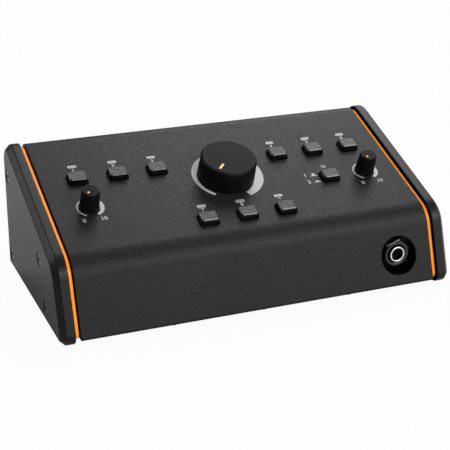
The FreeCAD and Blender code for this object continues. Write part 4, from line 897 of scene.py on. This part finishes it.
# The floor lies just under the soles.
FLOOR_HEIGHT = -0.0002
bpy.ops.mesh.primitive_plane_add(size=6.0, location=(0.0, 0.0, FLOOR_HEIGHT))
floor = bpy.context.object
floor.name = "floor"
paper = bpy.data.materials.new("floor_white")
plain = ("ShaderNodeBsdfDiffuse", {}, {"Color": grey(0.8)})
lit = ("ShaderNodeEmission", {}, {"Color": grey(1.0), "Strength": 1.0})
white_background(paper, "ShaderNodeOutputMaterial", plain, lit, seen=0.95, mirrored=0.08)
floor.data.materials.append(paper)

studio = bpy.data.worlds.new("studio")
room = ("ShaderNodeBackground", {}, {"Color": grey(1.0), "Strength": 0.08})
backdrop = ("ShaderNodeBackground", {}, {"Color": grey(1.0), "Strength": 1.0})
white_background(studio, "ShaderNodeOutputWorld", room, backdrop, seen=1.0, mirrored=0.2)
bpy.context.scene.world = studio

LAMP_TARGET = Vector((0.0, 0.0, 0.05))


def softbox(name, place, width, height, painted_glow):
    """A rectangular lamp with an even glow of the given brightness, facing the part."""
    light = bpy.data.lights.new(name, "AREA")
    light.shape = "RECTANGLE"
    light.size, light.size_y = width, height
    light.energy = painted_glow * math.pi * width * height
    lamp = bpy.data.objects.new(name, light)
    bpy.context.collection.objects.link(lamp)
    lamp.location = place
    lamp.rotation_euler = (LAMP_TARGET - Vector(place)).to_track_quat("-Z", "Y").to_euler()


softbox("key_softbox", (0.45, 0.55, 1.0), width=0.8, height=0.6, painted_glow=4.2)
softbox("rear_softbox", (0.6, 0.9, 0.8), width=0.6, height=0.6, painted_glow=2.25)
softbox("left_softbox", (-0.9, 0.6, 0.8), width=0.7, height=0.7, painted_glow=2.75)
softbox("strip_softbox", (0.465, -0.912, 0.767), width=1.2, height=0.3, painted_glow=9.0)
softbox("front_softbox", (0.42, -1.09, 0.33), width=1.4, height=0.6, painted_glow=1.75)

# The camera stands to the left of the front and above it, at these angles, this many
# metres from the point that it faces. Focal length and axis are in pixels of a square
# frame.
AZIMUTH = math.radians(-22.208)
ELEVATION = math.radians(21.454)
ROLL = math.radians(0.346)
FACED_POINT = Vector((-0.011227, -0.01474, 0.04032))
DISTANCE = 0.599686
FRAME = 450.0
FOCAL_LENGTH = 1175.698
AXIS_ACROSS, AXIS_DOWN = 216.487, 218.177

flat = math.cos(ELEVATION)
back = Vector((math.sin(AZIMUTH) * flat, -math.cos(AZIMUTH) * flat, math.sin(ELEVATION)))
right = Vector((math.cos(AZIMUTH), math.sin(AZIMUTH), 0.0))
up = back.cross(right)
turn = Matrix.Rotation(ROLL, 3, back)
axes = Matrix((turn @ right, turn @ up, back)).transposed().to_4x4()
camera_data = bpy.data.cameras.new("camera")
camera_data.sensor_width = 36.0
camera_data.lens = FOCAL_LENGTH / FRAME * camera_data.sensor_width
camera_data.shift_x = (FRAME / 2.0 - AXIS_ACROSS) / FRAME
camera_data.shift_y = (AXIS_DOWN - FRAME / 2.0) / FRAME
camera_data.clip_start = 0.01
camera = bpy.data.objects.new("camera", camera_data)
bpy.context.collection.objects.link(camera)
camera.matrix_world = Matrix.Translation(FACED_POINT + back * DISTANCE) @ axes
bpy.context.scene.camera = camera
bpy.context.scene.view_settings.view_transform = "Standard"
